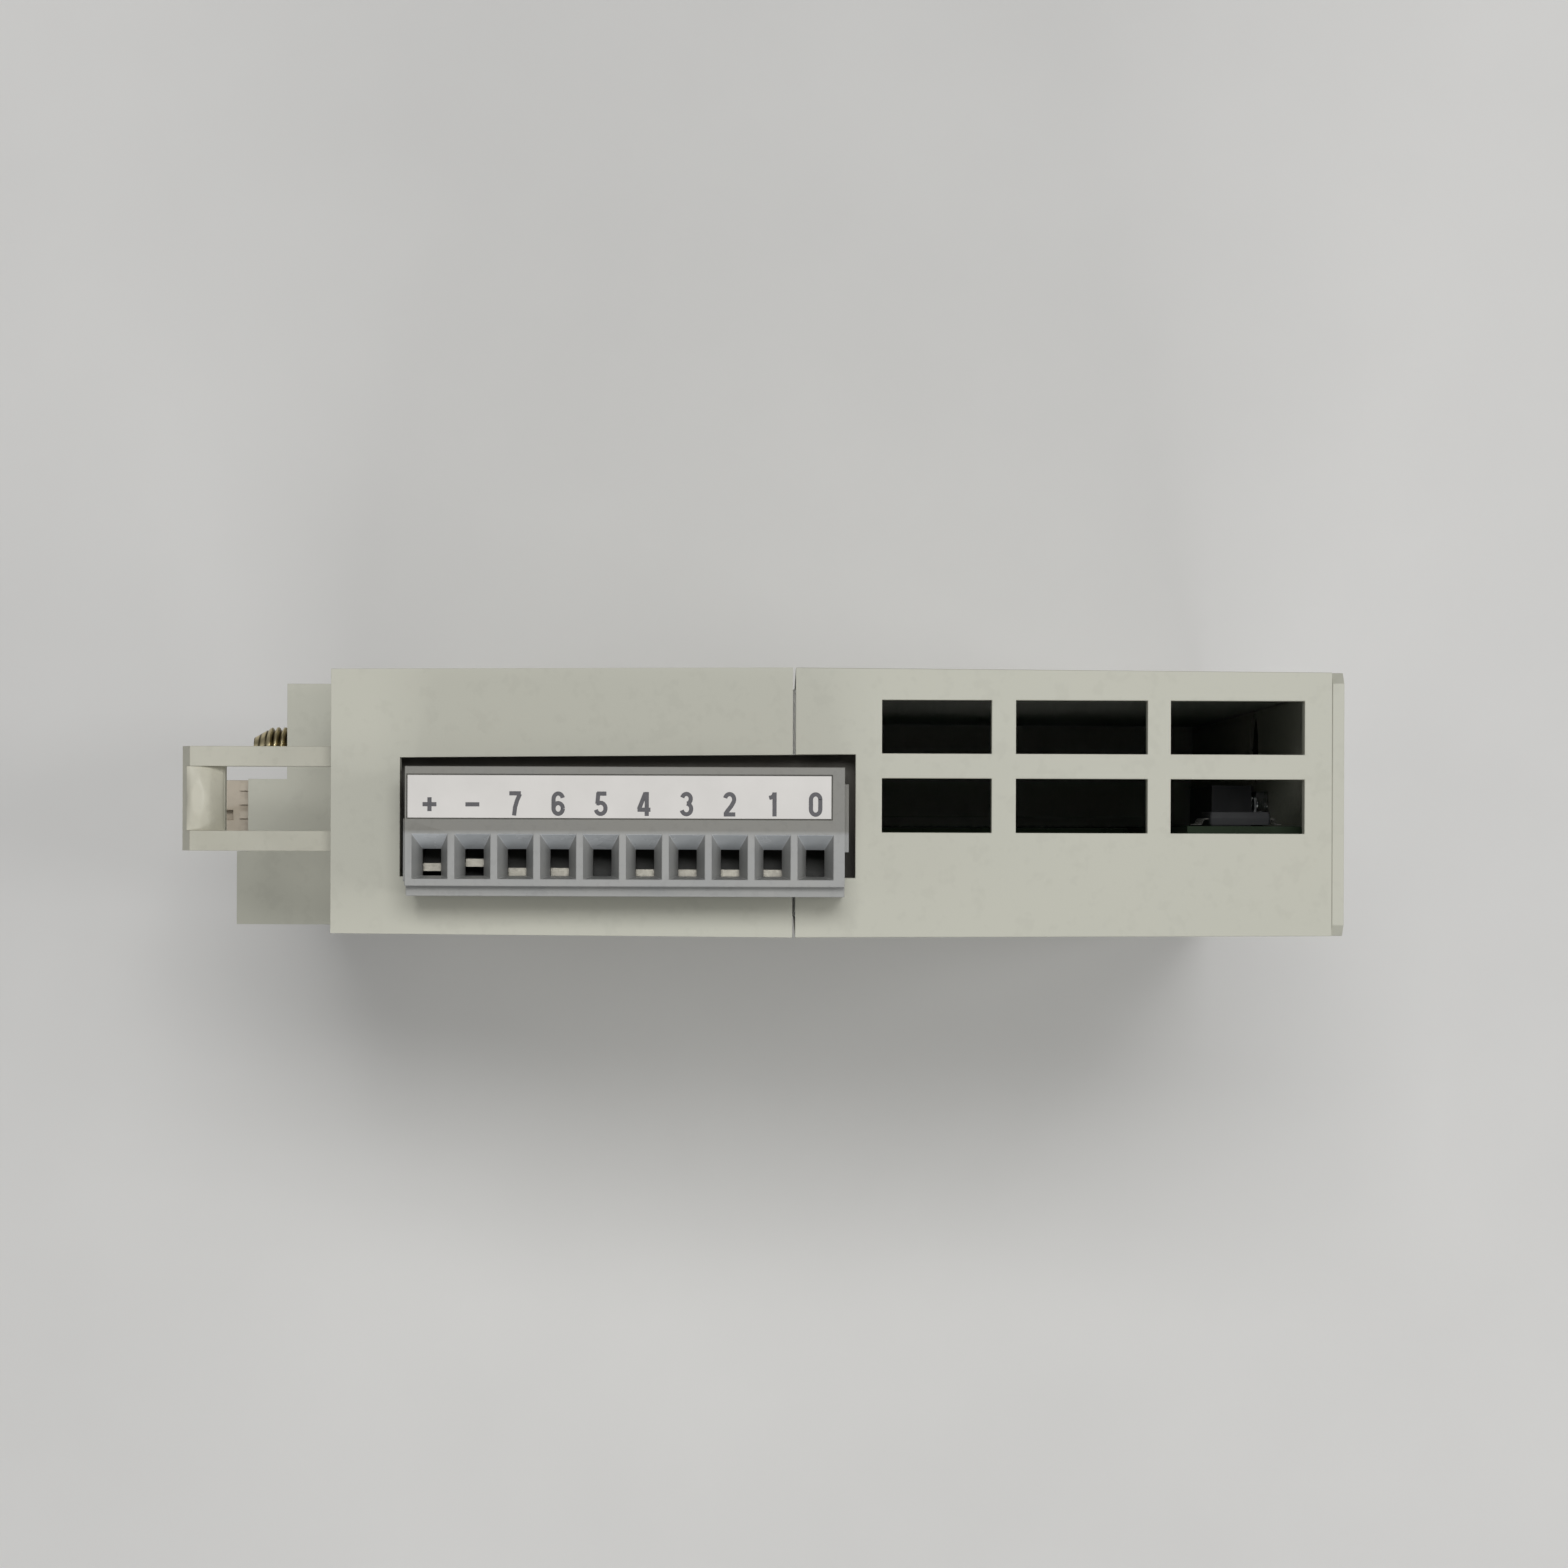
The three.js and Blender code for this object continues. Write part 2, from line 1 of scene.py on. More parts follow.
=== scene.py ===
import json
import math

import bmesh
import bpy
import numpy as np
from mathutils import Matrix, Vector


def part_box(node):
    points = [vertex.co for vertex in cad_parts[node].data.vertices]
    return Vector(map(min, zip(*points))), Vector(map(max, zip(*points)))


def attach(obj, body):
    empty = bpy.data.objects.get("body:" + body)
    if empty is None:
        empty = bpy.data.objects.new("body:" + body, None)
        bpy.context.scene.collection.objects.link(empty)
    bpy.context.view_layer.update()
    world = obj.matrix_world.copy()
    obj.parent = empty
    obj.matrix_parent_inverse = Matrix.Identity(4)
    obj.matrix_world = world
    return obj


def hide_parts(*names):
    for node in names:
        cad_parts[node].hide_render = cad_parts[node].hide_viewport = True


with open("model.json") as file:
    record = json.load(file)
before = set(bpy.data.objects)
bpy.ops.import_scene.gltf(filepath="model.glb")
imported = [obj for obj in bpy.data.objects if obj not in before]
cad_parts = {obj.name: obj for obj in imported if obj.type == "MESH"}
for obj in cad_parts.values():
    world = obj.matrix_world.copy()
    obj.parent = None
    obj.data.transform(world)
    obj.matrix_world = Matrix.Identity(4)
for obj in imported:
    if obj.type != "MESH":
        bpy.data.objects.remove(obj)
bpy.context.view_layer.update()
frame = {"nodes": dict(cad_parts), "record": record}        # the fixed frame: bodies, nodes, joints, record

mm = 0.001


def nodeBox(node):
    low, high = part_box(node)
    return np.array([list(low), list(high)], float)


# the module's own measures, from the frame; the last two are in mm
module = {"hookReach": 14.35, "seamToRear": 42.2}
faceZ = float(nodeBox("rear_housing")[1, 2])
rearY = float(nodeBox("carrier_hook")[1, 1]) / mm - module["hookReach"]      # the upper rear face
seamY = rearY - module["seamToRear"]                                         # where the two halves meet
poleNames = ["0", "1", "2", "3", "4", "5", "6", "7", "minus", "plus"]
poleY = [float(nodeBox(f"header_pin_{name}")[:, 1].mean()) for name in poleNames]

bodyOf = {node: body for body, nodes in frame["record"]["behaviour"]["bodies"].items() for node in nodes}
slotOf = {part["node"]: part["material_slot"] for part in frame["record"]["subparts"]}


def linear(hexColour):
    # sRGB hex turned to linear red, green, blue, alpha
    parts = [int(hexColour[i:i + 2], 16) / 255 for i in (0, 2, 4)]
    return [c / 12.92 if c <= 0.04045 else ((c + 0.055) / 1.055) ** 2.4 for c in parts] + [1.0]


def addNode(tree, kind, settings=None, links=None):
    # settings: a number is a socket's place, a name with a dot is a socket, "stops" are a ramp's
    # places and colours, and any other name is a property of the node
    node = tree.nodes.new(kind)
    for key, value in (settings or {}).items():
        if isinstance(key, int):
            node.inputs[key].default_value = value
        elif key.startswith("."):
            node.inputs[key[1:]].default_value = value
        elif key == "stops":
            for element, (place, colour) in zip(node.color_ramp.elements, value):
                element.position = place
                element.color = linear(colour)
        else:
            setattr(node, key, value)
    for key, source in (links or {}).items():
        tree.links.new(source, node.inputs[key])
    return node


def newMaterial(name, roughness, metallic=0.0, ior=1.5):
    material = bpy.data.materials.new(name)
    material.use_nodes = True
    tree = material.node_tree
    tree.nodes.clear()
    shader = addNode(tree, "ShaderNodeBsdfPrincipled",
                     {".Roughness": roughness, ".Metallic": metallic, ".IOR": ior})
    addNode(tree, "ShaderNodeOutputMaterial", links={"Surface": shader.outputs["BSDF"]})
    place = addNode(tree, "ShaderNodeTexCoord").outputs["Object"]
    return material, tree, shader, place


def dressSurface(tree, shader, place, look):
    # what every dull surface here has: two close colours in soft clouds, a roughness that follows
    # the clouds, and a fine grain that stands up by its depth
    cloud = addNode(tree, "ShaderNodeTexNoise", {".Scale": 1 / (look["cloudMm"] * mm), ".Detail": 4.0,
                    ".Roughness": 0.55}, {"Vector": place}).outputs["Fac"]
    dark, light = look["colours"]
    colour = addNode(tree, "ShaderNodeValToRGB", {"stops": [(0.3, dark), (0.7, light)]},
                     {"Fac": cloud}).outputs["Color"]
    tree.links.new(colour, shader.inputs["Base Color"])
    rough = addNode(tree, "ShaderNodeMapRange", {".From Min": 0.3, ".From Max": 0.7,
                    ".To Min": look["roughness"] - 0.06, ".To Max": look["roughness"] + 0.06},
                    {"Value": cloud})
    tree.links.new(rough.outputs["Result"], shader.inputs["Roughness"])
    grain = addNode(tree, "ShaderNodeTexNoise", {".Scale": 1 / (look["grainMm"] * mm), ".Detail": 2.0},
                    {"Vector": place}).outputs["Fac"]
    bump = addNode(tree, "ShaderNodeBump", {".Strength": 1.0, ".Distance": look["grainDepthMm"] * mm},
                   {"Height": grain})
    tree.links.new(bump.outputs["Normal"], shader.inputs["Normal"])
    return colour


plasticLooks = {
    # the grain of a real spark-eroded tool is about 0.05 mm, drawn three times as coarse so that it shows
    "housingAbs": {"colours": ["b4b4a7", "bab9ac"], "roughness": 0.52, "ior": 1.53, "cloudMm": 26,
                   "grainMm": 0.18, "grainDepthMm": 0.005, "scuff": 0.05, "scuffMm": 1.7},
    "carrierHookPolyamide": {"colours": ["b0ae9f", "bbb9ab"], "roughness": 0.42, "ior": 1.53, "cloudMm": 8,
                             "grainMm": 0.15, "grainDepthMm": 0.003, "scuff": 0.06, "scuffMm": 1.2},
    # a near-white copy of the housing's plastic for the hollow's inside faces: painted light
    "paintedLightInsideAbs": {"colours": ["eeeee8", "f1f1ec"], "roughness": 0.5, "ior": 1.53, "cloudMm": 30,
                   "grainMm": 0.3, "grainDepthMm": 0.003, "scuff": 0.04, "scuffMm": 2.5},
    # a lighter copy of the hook's plastic for the end bar's barrel: a painted highlight
    "rampHighlightPolyamide": {"colours": ["bfbcab", "cac7b8"], "roughness": 0.5, "ior": 1.53, "cloudMm": 4,
                      "grainMm": 0.3, "grainDepthMm": 0.002, "scuff": 0.05, "scuffMm": 1.2},
    "terminalPolyamide": {"colours": ["8e8f8e", "979794"], "roughness": 0.42, "ior": 1.53, "cloudMm": 6,
                          "grainMm": 0.14, "grainDepthMm": 0.004, "scuff": 0.08, "scuffMm": 0.7,
                          "stripSideTint": "cbc8c0", "stripSideFromMm": -3.0, "stripSideToMm": -2.6},
    # the plug's plastic again, lighter and bluer: a painted highlight on the funnels' far slopes
    "paintedHighlightPolyamide": {"colours": ["b2b6b9", "bbbec0"], "roughness": 0.25, "ior": 1.53, "cloudMm": 3,
                          "grainMm": 0.3, "grainDepthMm": 0.002, "scuff": 0.05, "scuffMm": 0.7},
    # a near-black copy of the plug's plastic for its chamber walls: painted shade
    "paintedShadePolyamide": {"colours": ["222320", "2a2b28"], "roughness": 0.6, "ior": 1.53, "cloudMm": 3,
                    "grainMm": 0.14, "grainDepthMm": 0.004, "scuff": 0.1, "scuffMm": 0.7},
    "headerPolyamide": {"colours": ["363229", "423e34"], "roughness": 0.6, "ior": 1.53, "cloudMm": 5,
                        "grainMm": 0.14, "grainDepthMm": 0.004, "scuff": 0.1, "scuffMm": 0.8},
    "busConnectorPbt": {"colours": ["aba08e", "b9ae9d"], "roughness": 0.38, "ior": 1.57, "cloudMm": 4,
                        "grainMm": 0.2, "grainDepthMm": 0.004, "scuff": 0.06, "scuffMm": 0.8},
    "epoxyPackage": {"colours": ["151619", "1d1e21"], "roughness": 0.72, "ior": 1.55, "cloudMm": 2,
                     "grainMm": 0.1, "grainDepthMm": 0.004, "scuff": 0.1, "scuffMm": 0.5},
    "capacitorSleevePvc": {"colours": ["2b3038", "343a44"], "roughness": 0.3, "ior": 1.53, "cloudMm": 3,
                           "grainMm": 0.3, "grainDepthMm": 0.002, "scuff": 0.1, "scuffMm": 0.8},
}


def mouldedPlastic(name, look):
    # Thermoplastic moulded in a spark-eroded tool: the fine even grain softens the light, the colour is
    # cloudy from age and handling, and faint grey scuffs sit on it
    material, tree, shader, place = newMaterial(name, look["roughness"], ior=look["ior"])
    colour = dressSurface(tree, shader, place, look)
    speck = addNode(tree, "ShaderNodeTexNoise", {".Scale": 1 / (look["scuffMm"] * mm), ".Detail": 2.0,
                    ".Roughness": 0.7}, {"Vector": place}).outputs["Fac"]
    mask = addNode(tree, "ShaderNodeValToRGB", {"stops": [(0.34, "86827a"), (0.46, "ffffff")]},
                   {"Fac": speck})
    scuffed = addNode(tree, "ShaderNodeMix",
                      {"data_type": "RGBA", "blend_type": "MULTIPLY", 0: look["scuff"]},
                      {6: colour, 7: mask.outputs["Color"]})
    tree.links.new(scuffed.outputs[2], shader.inputs["Base Color"])
    if "stripSideTint" in look:
        # the plug's colour is multiplied to a darker, yellower grey from X = -3.0 mm on towards the strip
        across = addNode(tree, "ShaderNodeSeparateXYZ", links={"Vector": place}).outputs["X"]
        near = addNode(tree, "ShaderNodeMapRange", {".From Min": look["stripSideFromMm"] * mm,
                       ".From Max": look["stripSideToMm"] * mm}, {"Value": across})
        stripSideTint = addNode(tree, "ShaderNodeMix", {"data_type": "RGBA", "blend_type": "MULTIPLY",
                          7: linear(look["stripSideTint"])}, {0: near.outputs["Result"], 6: scuffed.outputs[2]})
        tree.links.new(stripSideTint.outputs[2], shader.inputs["Base Color"])
    return material


cardLooks = {
    "markerCard": {"colours": ["cdcac6", "d6d3cf"], "roughness": 0.6, "cloudMm": 5, "grainMm": 0.2,
                   "grainDepthMm": 0.004},
    "labelCard": {"colours": ["d5d3cb", "dddbd3"], "roughness": 0.62, "cloudMm": 7, "grainMm": 0.3,
                  "grainDepthMm": 0.004, "rulesMm": 5.6, "ruleWide": 0.05},
}


def coatedCard(name, look):
    # Matt coated card, die cut: nearly even white, with faint fibres and soft smudges from fingers;
    # a ruled card also has printed grey lines, one for each channel
    material, tree, shader, place = newMaterial(name, look["roughness"], ior=1.47)
    colour = dressSurface(tree, shader, place, look)
    if "rulesMm" in look:
        height = addNode(tree, "ShaderNodeSeparateXYZ", links={"Vector": place}).outputs["Z"]
        turn = addNode(tree, "ShaderNodeMath", {"operation": "DIVIDE", 1: look["rulesMm"] * mm},
                       {0: height})
        part = addNode(tree, "ShaderNodeMath", {"operation": "FRACT"}, {0: turn.outputs[0]})
        rule = addNode(tree, "ShaderNodeMath", {"operation": "LESS_THAN", 1: look["ruleWide"]},
                       {0: part.outputs[0]})
        ruled = addNode(tree, "ShaderNodeMix", {"data_type": "RGBA", 7: linear("6d6e70")},
                        {0: rule.outputs[0], 6: colour})
        tree.links.new(ruled.outputs[2], shader.inputs["Base Color"])
    return material


inkLook = {"colours": ["3c3b3f", "514f52"], "roughness": 0.45, "cloudMm": 0.3, "grainMm": 0.15,
           "grainDepthMm": 0.003}


def screenInk():
    # Screen-printed dark grey ink: slightly uneven cover, a little shinier than the card
    material, tree, shader, place = newMaterial("screenInk", inkLook["roughness"], ior=1.5)
    dressSurface(tree, shader, place, inkLook)
    return material


threadOil = "3a3324"
metalLooks = {
    "nickelPlatedSteel": {"colours": ["d6d2c6", "e6e2d6"], "roughness": 0.34, "cloudMm": 1.2,
                          "lineMm": 0.12, "stretch": (1, 1, 0.1)},
    "dullZincPlate": {"colours": ["8c8981", "9d9a90"], "roughness": 0.5, "cloudMm": 1.2, "lineMm": 0.12,
                      "stretch": (1, 1, 0.1)},
    "oxidisedTin": {"colours": ["4a4a47", "5b5a56"], "roughness": 0.6, "cloudMm": 0.8, "lineMm": 0.15,
                    "stretch": (1, 1, 0.2)},
    "tinnedCopper": {"colours": ["b3b0a6", "c9c6bc"], "roughness": 0.32, "cloudMm": 1.5, "lineMm": 0.12,
                     "stretch": (1, 1, 0.1)},
    "chromatedSteel": {"colours": ["b6aa88", "dccfa8"], "roughness": 0.36, "cloudMm": 1.6, "lineMm": 0.15,
                       "stretch": (1, 0.2, 1)},
    "goldFlashedSpring": {"colours": ["c79a4a", "dcb566"], "roughness": 0.28, "cloudMm": 1.0, "lineMm": 0.1,
                          "stretch": (1, 0.1, 1)},
    "drawnAluminium": {"colours": ["c2c4c6", "d4d5d6"], "roughness": 0.3, "cloudMm": 1.5, "lineMm": 0.15,
                       "stretch": (1, 1, 0.2)},
}


def platedMetal(name, look):
    # Stamped strip or turned steel, plated in a barrel: tight tool lines along one axis, patchy dulling
    # of the plating, and old oil in the roots of a thread, where the root attribute is 1
    material, tree, shader, place = newMaterial(name, look["roughness"], metallic=1.0)
    cloud = addNode(tree, "ShaderNodeTexNoise", {".Scale": 1 / (look["cloudMm"] * mm), ".Detail": 3.0},
                    {"Vector": place}).outputs["Fac"]
    dark, light = look["colours"]
    colour = addNode(tree, "ShaderNodeValToRGB", {"stops": [(0.35, dark), (0.7, light)]},
                     {"Fac": cloud}).outputs["Color"]
    root = addNode(tree, "ShaderNodeAttribute", {"attribute_name": "root"}).outputs["Fac"]
    oiled = addNode(tree, "ShaderNodeMix", {"data_type": "RGBA", 7: linear(threadOil)},
                    {0: root, 6: colour})
    tree.links.new(oiled.outputs[2], shader.inputs["Base Color"])
    stretch = addNode(tree, "ShaderNodeMapping", {".Scale": look["stretch"]}, {"Vector": place})
    lines = addNode(tree, "ShaderNodeTexNoise", {".Scale": 1 / (look["lineMm"] * mm), ".Detail": 2.0},
                    {"Vector": stretch.outputs["Vector"]}).outputs["Fac"]
    rough = addNode(tree, "ShaderNodeMapRange", {".From Min": 0.3, ".From Max": 0.7,
                    ".To Min": look["roughness"] - 0.08, ".To Max": look["roughness"] + 0.1},
                    {"Value": lines})
    tree.links.new(rough.outputs["Result"], shader.inputs["Roughness"])
    bump = addNode(tree, "ShaderNodeBump", {".Strength": 1.0, ".Distance": 0.003 * mm}, {"Height": lines})
    tree.links.new(bump.outputs["Normal"], shader.inputs["Normal"])
    return material


def clearPolycarbonate():
    # Injection-moulded clear cover: smooth and glassy, with hairline scratches that catch the light
    material, tree, shader, place = newMaterial("clearPolycarbonate", 0.08, ior=1.58)
    shader.inputs["Base Color"].default_value = linear("f2f5f5")
    shader.inputs["Transmission Weight"].default_value = 1.0
    scratches = addNode(tree, "ShaderNodeMapping", {".Scale": (1, 1, 12)}, {"Vector": place})
    lines = addNode(tree, "ShaderNodeTexNoise", {".Scale": 1 / (0.6 * mm), ".Detail": 4.0},
                    {"Vector": scratches.outputs["Vector"]}).outputs["Fac"]
    rough = addNode(tree, "ShaderNodeMapRange", {".From Min": 0.6, ".From Max": 0.75,
                    ".To Min": 0.06, ".To Max": 0.3}, {"Value": lines})
    tree.links.new(rough.outputs["Result"], shader.inputs["Roughness"])
    return material


boardLook = {"lacquer": "103c20", "track": "1e5c31", "laminate": "1a2a15", "trackMm": 1.27, "wobbleMm": 9,
             "raisedMm": 0.03, "roughness": 0.75, "ior": 1.4}


def solderMask():
    # Photo-imaged green lacquer over glass-fibre laminate: copper tracks show through as lighter, raised
    # lines at 1.27 mm spacing that step aside now and then, dulled by years of dust
    material, tree, shader, place = newMaterial("solderMaskedLaminate", boardLook["roughness"],
                                                ior=boardLook["ior"])
    wobble = addNode(tree, "ShaderNodeTexNoise",
                     {".Scale": 1 / (boardLook["wobbleMm"] * mm), ".Detail": 1.0}, {"Vector": place})
    step = addNode(tree, "ShaderNodeMapRange", {".From Min": 0.45, ".From Max": 0.55,
                   ".To Min": 0, ".To Max": 6}, {"Value": wobble.outputs["Fac"]})
    height = addNode(tree, "ShaderNodeSeparateXYZ", links={"Vector": place}).outputs["Z"]
    shifted = addNode(tree, "ShaderNodeMath",
                      {"operation": "MULTIPLY_ADD", 1: 1 / (boardLook["trackMm"] * mm)},
                      {0: height, 2: step.outputs["Result"]})
    wave = addNode(tree, "ShaderNodeMath", {"operation": "PINGPONG", 1: 0.5}, {0: shifted.outputs[0]})
    track = addNode(tree, "ShaderNodeMapRange", {".From Min": 0.28, ".From Max": 0.32},
                    {"Value": wave.outputs[0]})
    colour = addNode(tree, "ShaderNodeValToRGB",
                     {"stops": [(0.3, boardLook["lacquer"]), (0.7, boardLook["track"])]},
                     {"Fac": track.outputs["Result"]})
    # the sawn edges show the bare dark laminate
    normal = addNode(tree, "ShaderNodeNewGeometry").outputs["Normal"]
    facing = addNode(tree, "ShaderNodeSeparateXYZ", links={"Vector": normal}).outputs["X"]
    flat = addNode(tree, "ShaderNodeMath", {"operation": "ABSOLUTE"}, {0: facing}).outputs[0]
    sawn = addNode(tree, "ShaderNodeMath", {"operation": "LESS_THAN", 1: 0.5}, {0: flat}).outputs[0]
    body = addNode(tree, "ShaderNodeMix", {"data_type": "RGBA", 7: linear(boardLook["laminate"])},
                   {0: sawn, 6: colour.outputs["Color"]})
    tree.links.new(body.outputs[2], shader.inputs["Base Color"])
    bump = addNode(tree, "ShaderNodeBump", {".Strength": 1.0, ".Distance": boardLook["raisedMm"] * mm},
                   {"Height": track.outputs["Result"]})
    tree.links.new(bump.outputs["Normal"], shader.inputs["Normal"])
    return material


materials = {name: mouldedPlastic(name, look) for name, look in plasticLooks.items()}
materials.update({name: coatedCard(name, look) for name, look in cardLooks.items()})
materials.update({name: platedMetal(name, look) for name, look in metalLooks.items()})
materials["screenInk"] = screenInk()
materials["clearPolycarbonate"] = clearPolycarbonate()
materials["solderMaskedLaminate"] = solderMask()
print("materials made:", len(materials))

slotMaterial = {
    "housing_plastic": "housingAbs", "hook_plastic": "carrierHookPolyamide",
    "plug_plastic": "terminalPolyamide", "header_plastic": "headerPolyamide",
    "connector_plastic": "busConnectorPbt", "marker_white": "markerCard",
    "clear_plastic": "clearPolycarbonate", "board_laminate": "solderMaskedLaminate",
    "component_black": "epoxyPackage", "can_aluminium": "capacitorSleevePvc",
    "plated_steel": "nickelPlatedSteel", "tinned_contact": "tinnedCopper", "dark_brass": "chromatedSteel",
}


def finishPiece(piece, material, body, replaces=(), angle=32):
    piece.data.materials.clear()
    piece.data.materials.append(materials[material])
    piece.data.polygons.foreach_set("use_smooth", [angle > 0] * len(piece.data.polygons))
    if angle > 0:
        piece.data.set_sharp_from_angle(angle=math.radians(angle))
    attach(piece, body)
    if replaces:
        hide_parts(*replaces)


def tidyMesh(mesh, merge=1e-7):
    # doubles merged, then slivers removed and all faces turned outwards
    bm = bmesh.new()
    bm.from_mesh(mesh)
    bmesh.ops.remove_doubles(bm, verts=bm.verts, dist=merge)
    bmesh.ops.dissolve_degenerate(bm, edges=bm.edges, dist=merge)
    bmesh.ops.recalc_face_normals(bm, faces=bm.faces)
    bm.to_mesh(mesh)
    bm.free()


def addPiece(name, parts, material, body, replaces=(), angle=32, root=None):
    # parts: (points, faces) pairs put into one mesh; root: one number a point for the thread's oil
    points, faces = joined(parts)
    mesh = bpy.data.meshes.new(name)
    mesh.from_pydata(points.tolist(), [], faces.tolist())
    if root is not None:
        groove = mesh.attributes.new("root", "FLOAT", "POINT")
        groove.data.foreach_set("value", np.asarray(root, np.float32))
    tidyMesh(mesh)
    piece = bpy.data.objects.new(name, mesh)
    bpy.context.collection.objects.link(piece)
    finishPiece(piece, material, body, replaces, angle)
    return piece


def joined(parts):
    # the points of all parts in one list, each part's faces moved on by the points before it
    counts = np.cumsum([0] + [len(points) for points, faces in parts])
    points = np.vstack([points for points, faces in parts])
    return points, np.vstack([faces + start for (_, faces), start in zip(parts, counts)])


def tube(rings):
    # rings (rows, columns, 3) of a closed outline carried along a path, with each end drawn to its middle
    ends = [np.repeat(rings[k].mean(0)[None], rings.shape[1], 0)[None] for k in (0, -1)]
    grid = np.concatenate([ends[0], rings, ends[1]])
    rows, columns = grid.shape[:2]
    i = np.arange(rows - 1)[:, None] * columns
    j = np.arange(columns)[None, :]
    k = (j + 1) % columns
    faces = np.stack([i + j, i + k, i + columns + k, i + columns + j], -1).reshape(-1, 4)
    return grid.reshape(-1, 3), faces


def turned(profile, sides):
    # rows of (radius, height) carried round the axis: x = r cos a, y = r sin a, z = height
    profile = np.asarray(profile, float)
    a = np.linspace(0, 2 * np.pi, sides, endpoint=False)
    return np.stack([profile[:, :1] * np.cos(a), profile[:, :1] * np.sin(a),
                     np.repeat(profile[:, 1:], sides, 1)], -1)


def swept(path, across, up, half, thick):
    # a flat bar carried along a path of points: half to each side across it, and thick upwards
    path, across, up = (np.asarray(v, float) for v in (path, across, up))
    across = np.broadcast_to(across, path.shape)
    up = np.broadcast_to(up, path.shape)
    return tube(np.stack([path - across * half, path + across * half,
                          path + across * half + up * thick, path - across * half + up * thick], 1))


def placed(part, origin, axes):
    # local x, y, z along the three axes from an origin
    points, faces = part
    return np.asarray(origin) + points @ np.asarray(axes, float), faces


def arc(cx, cy, rx, ry, fromDeg, toDeg, count=14):
    # x = cx + rx cos a, y = cy + ry sin a
    a = np.radians(np.linspace(fromDeg, toDeg, count))
    return np.column_stack([cx + rx * np.cos(a), cy + ry * np.sin(a)])


for node, thing in frame["nodes"].items():
    thing.data.materials.clear()
    thing.data.materials.append(materials[slotMaterial[slotOf[node]]])
frame["nodes"]["label_card"].data.materials[0] = materials["labelCard"]
for name in poleNames:
    frame["nodes"][f"clamp_{name}"].data.materials[0] = materials["dullZincPlate"]

softEdges = {  # edge radius in mm of each moulded node that is shown as a softened copy
    "rear_housing": 0.16, "front_housing": 0.1, "front_panel": 0.08, "carrier_hook": 0.2,
    "terminal_plug": 0.1, "bus_connector": 0.15, "terminal_header": 0.12, "marker_strip": 0.03,
}


def softened(node, edge):
    # a copy of a CAD node with its doubles merged and its flat faces joined, and every sharp edge
    # rounded to a small radius, as a mould leaves it
    piece = bpy.data.objects.new(node + "_shell", frame["nodes"][node].data.copy())
    bpy.context.collection.objects.link(piece)
    bm = bmesh.new()
    bm.from_mesh(piece.data)
    bmesh.ops.remove_doubles(bm, verts=bm.verts, dist=2e-6)
    bmesh.ops.dissolve_limit(bm, angle_limit=math.radians(0.6), verts=bm.verts, edges=bm.edges)
    bmesh.ops.recalc_face_normals(bm, faces=bm.faces)
    bm.to_mesh(piece.data)
    bm.free()
    bevel = piece.modifiers.new("softEdges", "BEVEL")
    bevel.width = edge * mm
    bevel.segments = 2
    bevel.limit_method = "ANGLE"
    bevel.angle_limit = math.radians(35)
    bevel.use_clamp_overlap = True
    finishPiece(piece, slotMaterial[slotOf[node]], bodyOf[node], [node])
    return piece


shells = {node: softened(node, edge) for node, edge in softEdges.items()}

# places in mm: the funnels' reach in x, their mouth and throat, how far a scoop's face leans, and the
# chambers' floor with the walls round them
funnels = {"x0": -7.0, "x1": -2.9, "mouth": 123.95, "throat": 121.2, "scoop": -0.2, "floor": 114.9,
           "sideWall": 0.4, "endWall": 0.9}


def faceFacts(mesh):
    # every face's middle and direction
    middle, normal = np.empty(len(mesh.polygons) * 3), np.empty(len(mesh.polygons) * 3)
    mesh.polygons.foreach_get("center", middle)
    mesh.polygons.foreach_get("normal", normal)
    return middle.reshape(-1, 3).T / mm, normal.reshape(-1, 3).T


def paintPlugHighlightAndShade(shell):
    # the funnels' far slopes get a smoother, lighter and bluer copy of the plug's plastic, a painted
    # highlight, and the chambers below get a near-black copy, painted shade
    mesh = shell.data
    for name in ("paintedHighlightPolyamide", "paintedShadePolyamide"):
        mesh.materials.append(materials[name])
    (x, y, z), (nx, _, nz) = faceFacts(mesh)
    funnel = (x > funnels["x0"]) & (x < funnels["x1"]) & (z < funnels["mouth"]) & (nz < 0.95)
    scoop = funnel & (z > funnels["throat"]) & (nx < funnels["scoop"])
    low, high = nodeBox("terminal_plug") / mm
    side, end = funnels["sideWall"], funnels["endWall"]
    inside = (x > low[0] + side) & (x < high[0] - side) & (y > low[1] + end) & (y < high[1] - end)
    chamber = inside & (z < funnels["throat"]) & (z > funnels["floor"])
    mesh.polygons.foreach_set("material_index", scoop.astype(int) + 2 * chamber.astype(int))


paintPlugHighlightAndShade(shells["terminal_plug"])

# the shells' hollow in mm: wall, half the width at the seam and at the ends, and the taper's length
hollow = {"wall": 1.8, "slack": 0.1, "seamHalf": 12.3, "endHalf": 12.0, "taperLong": 50}


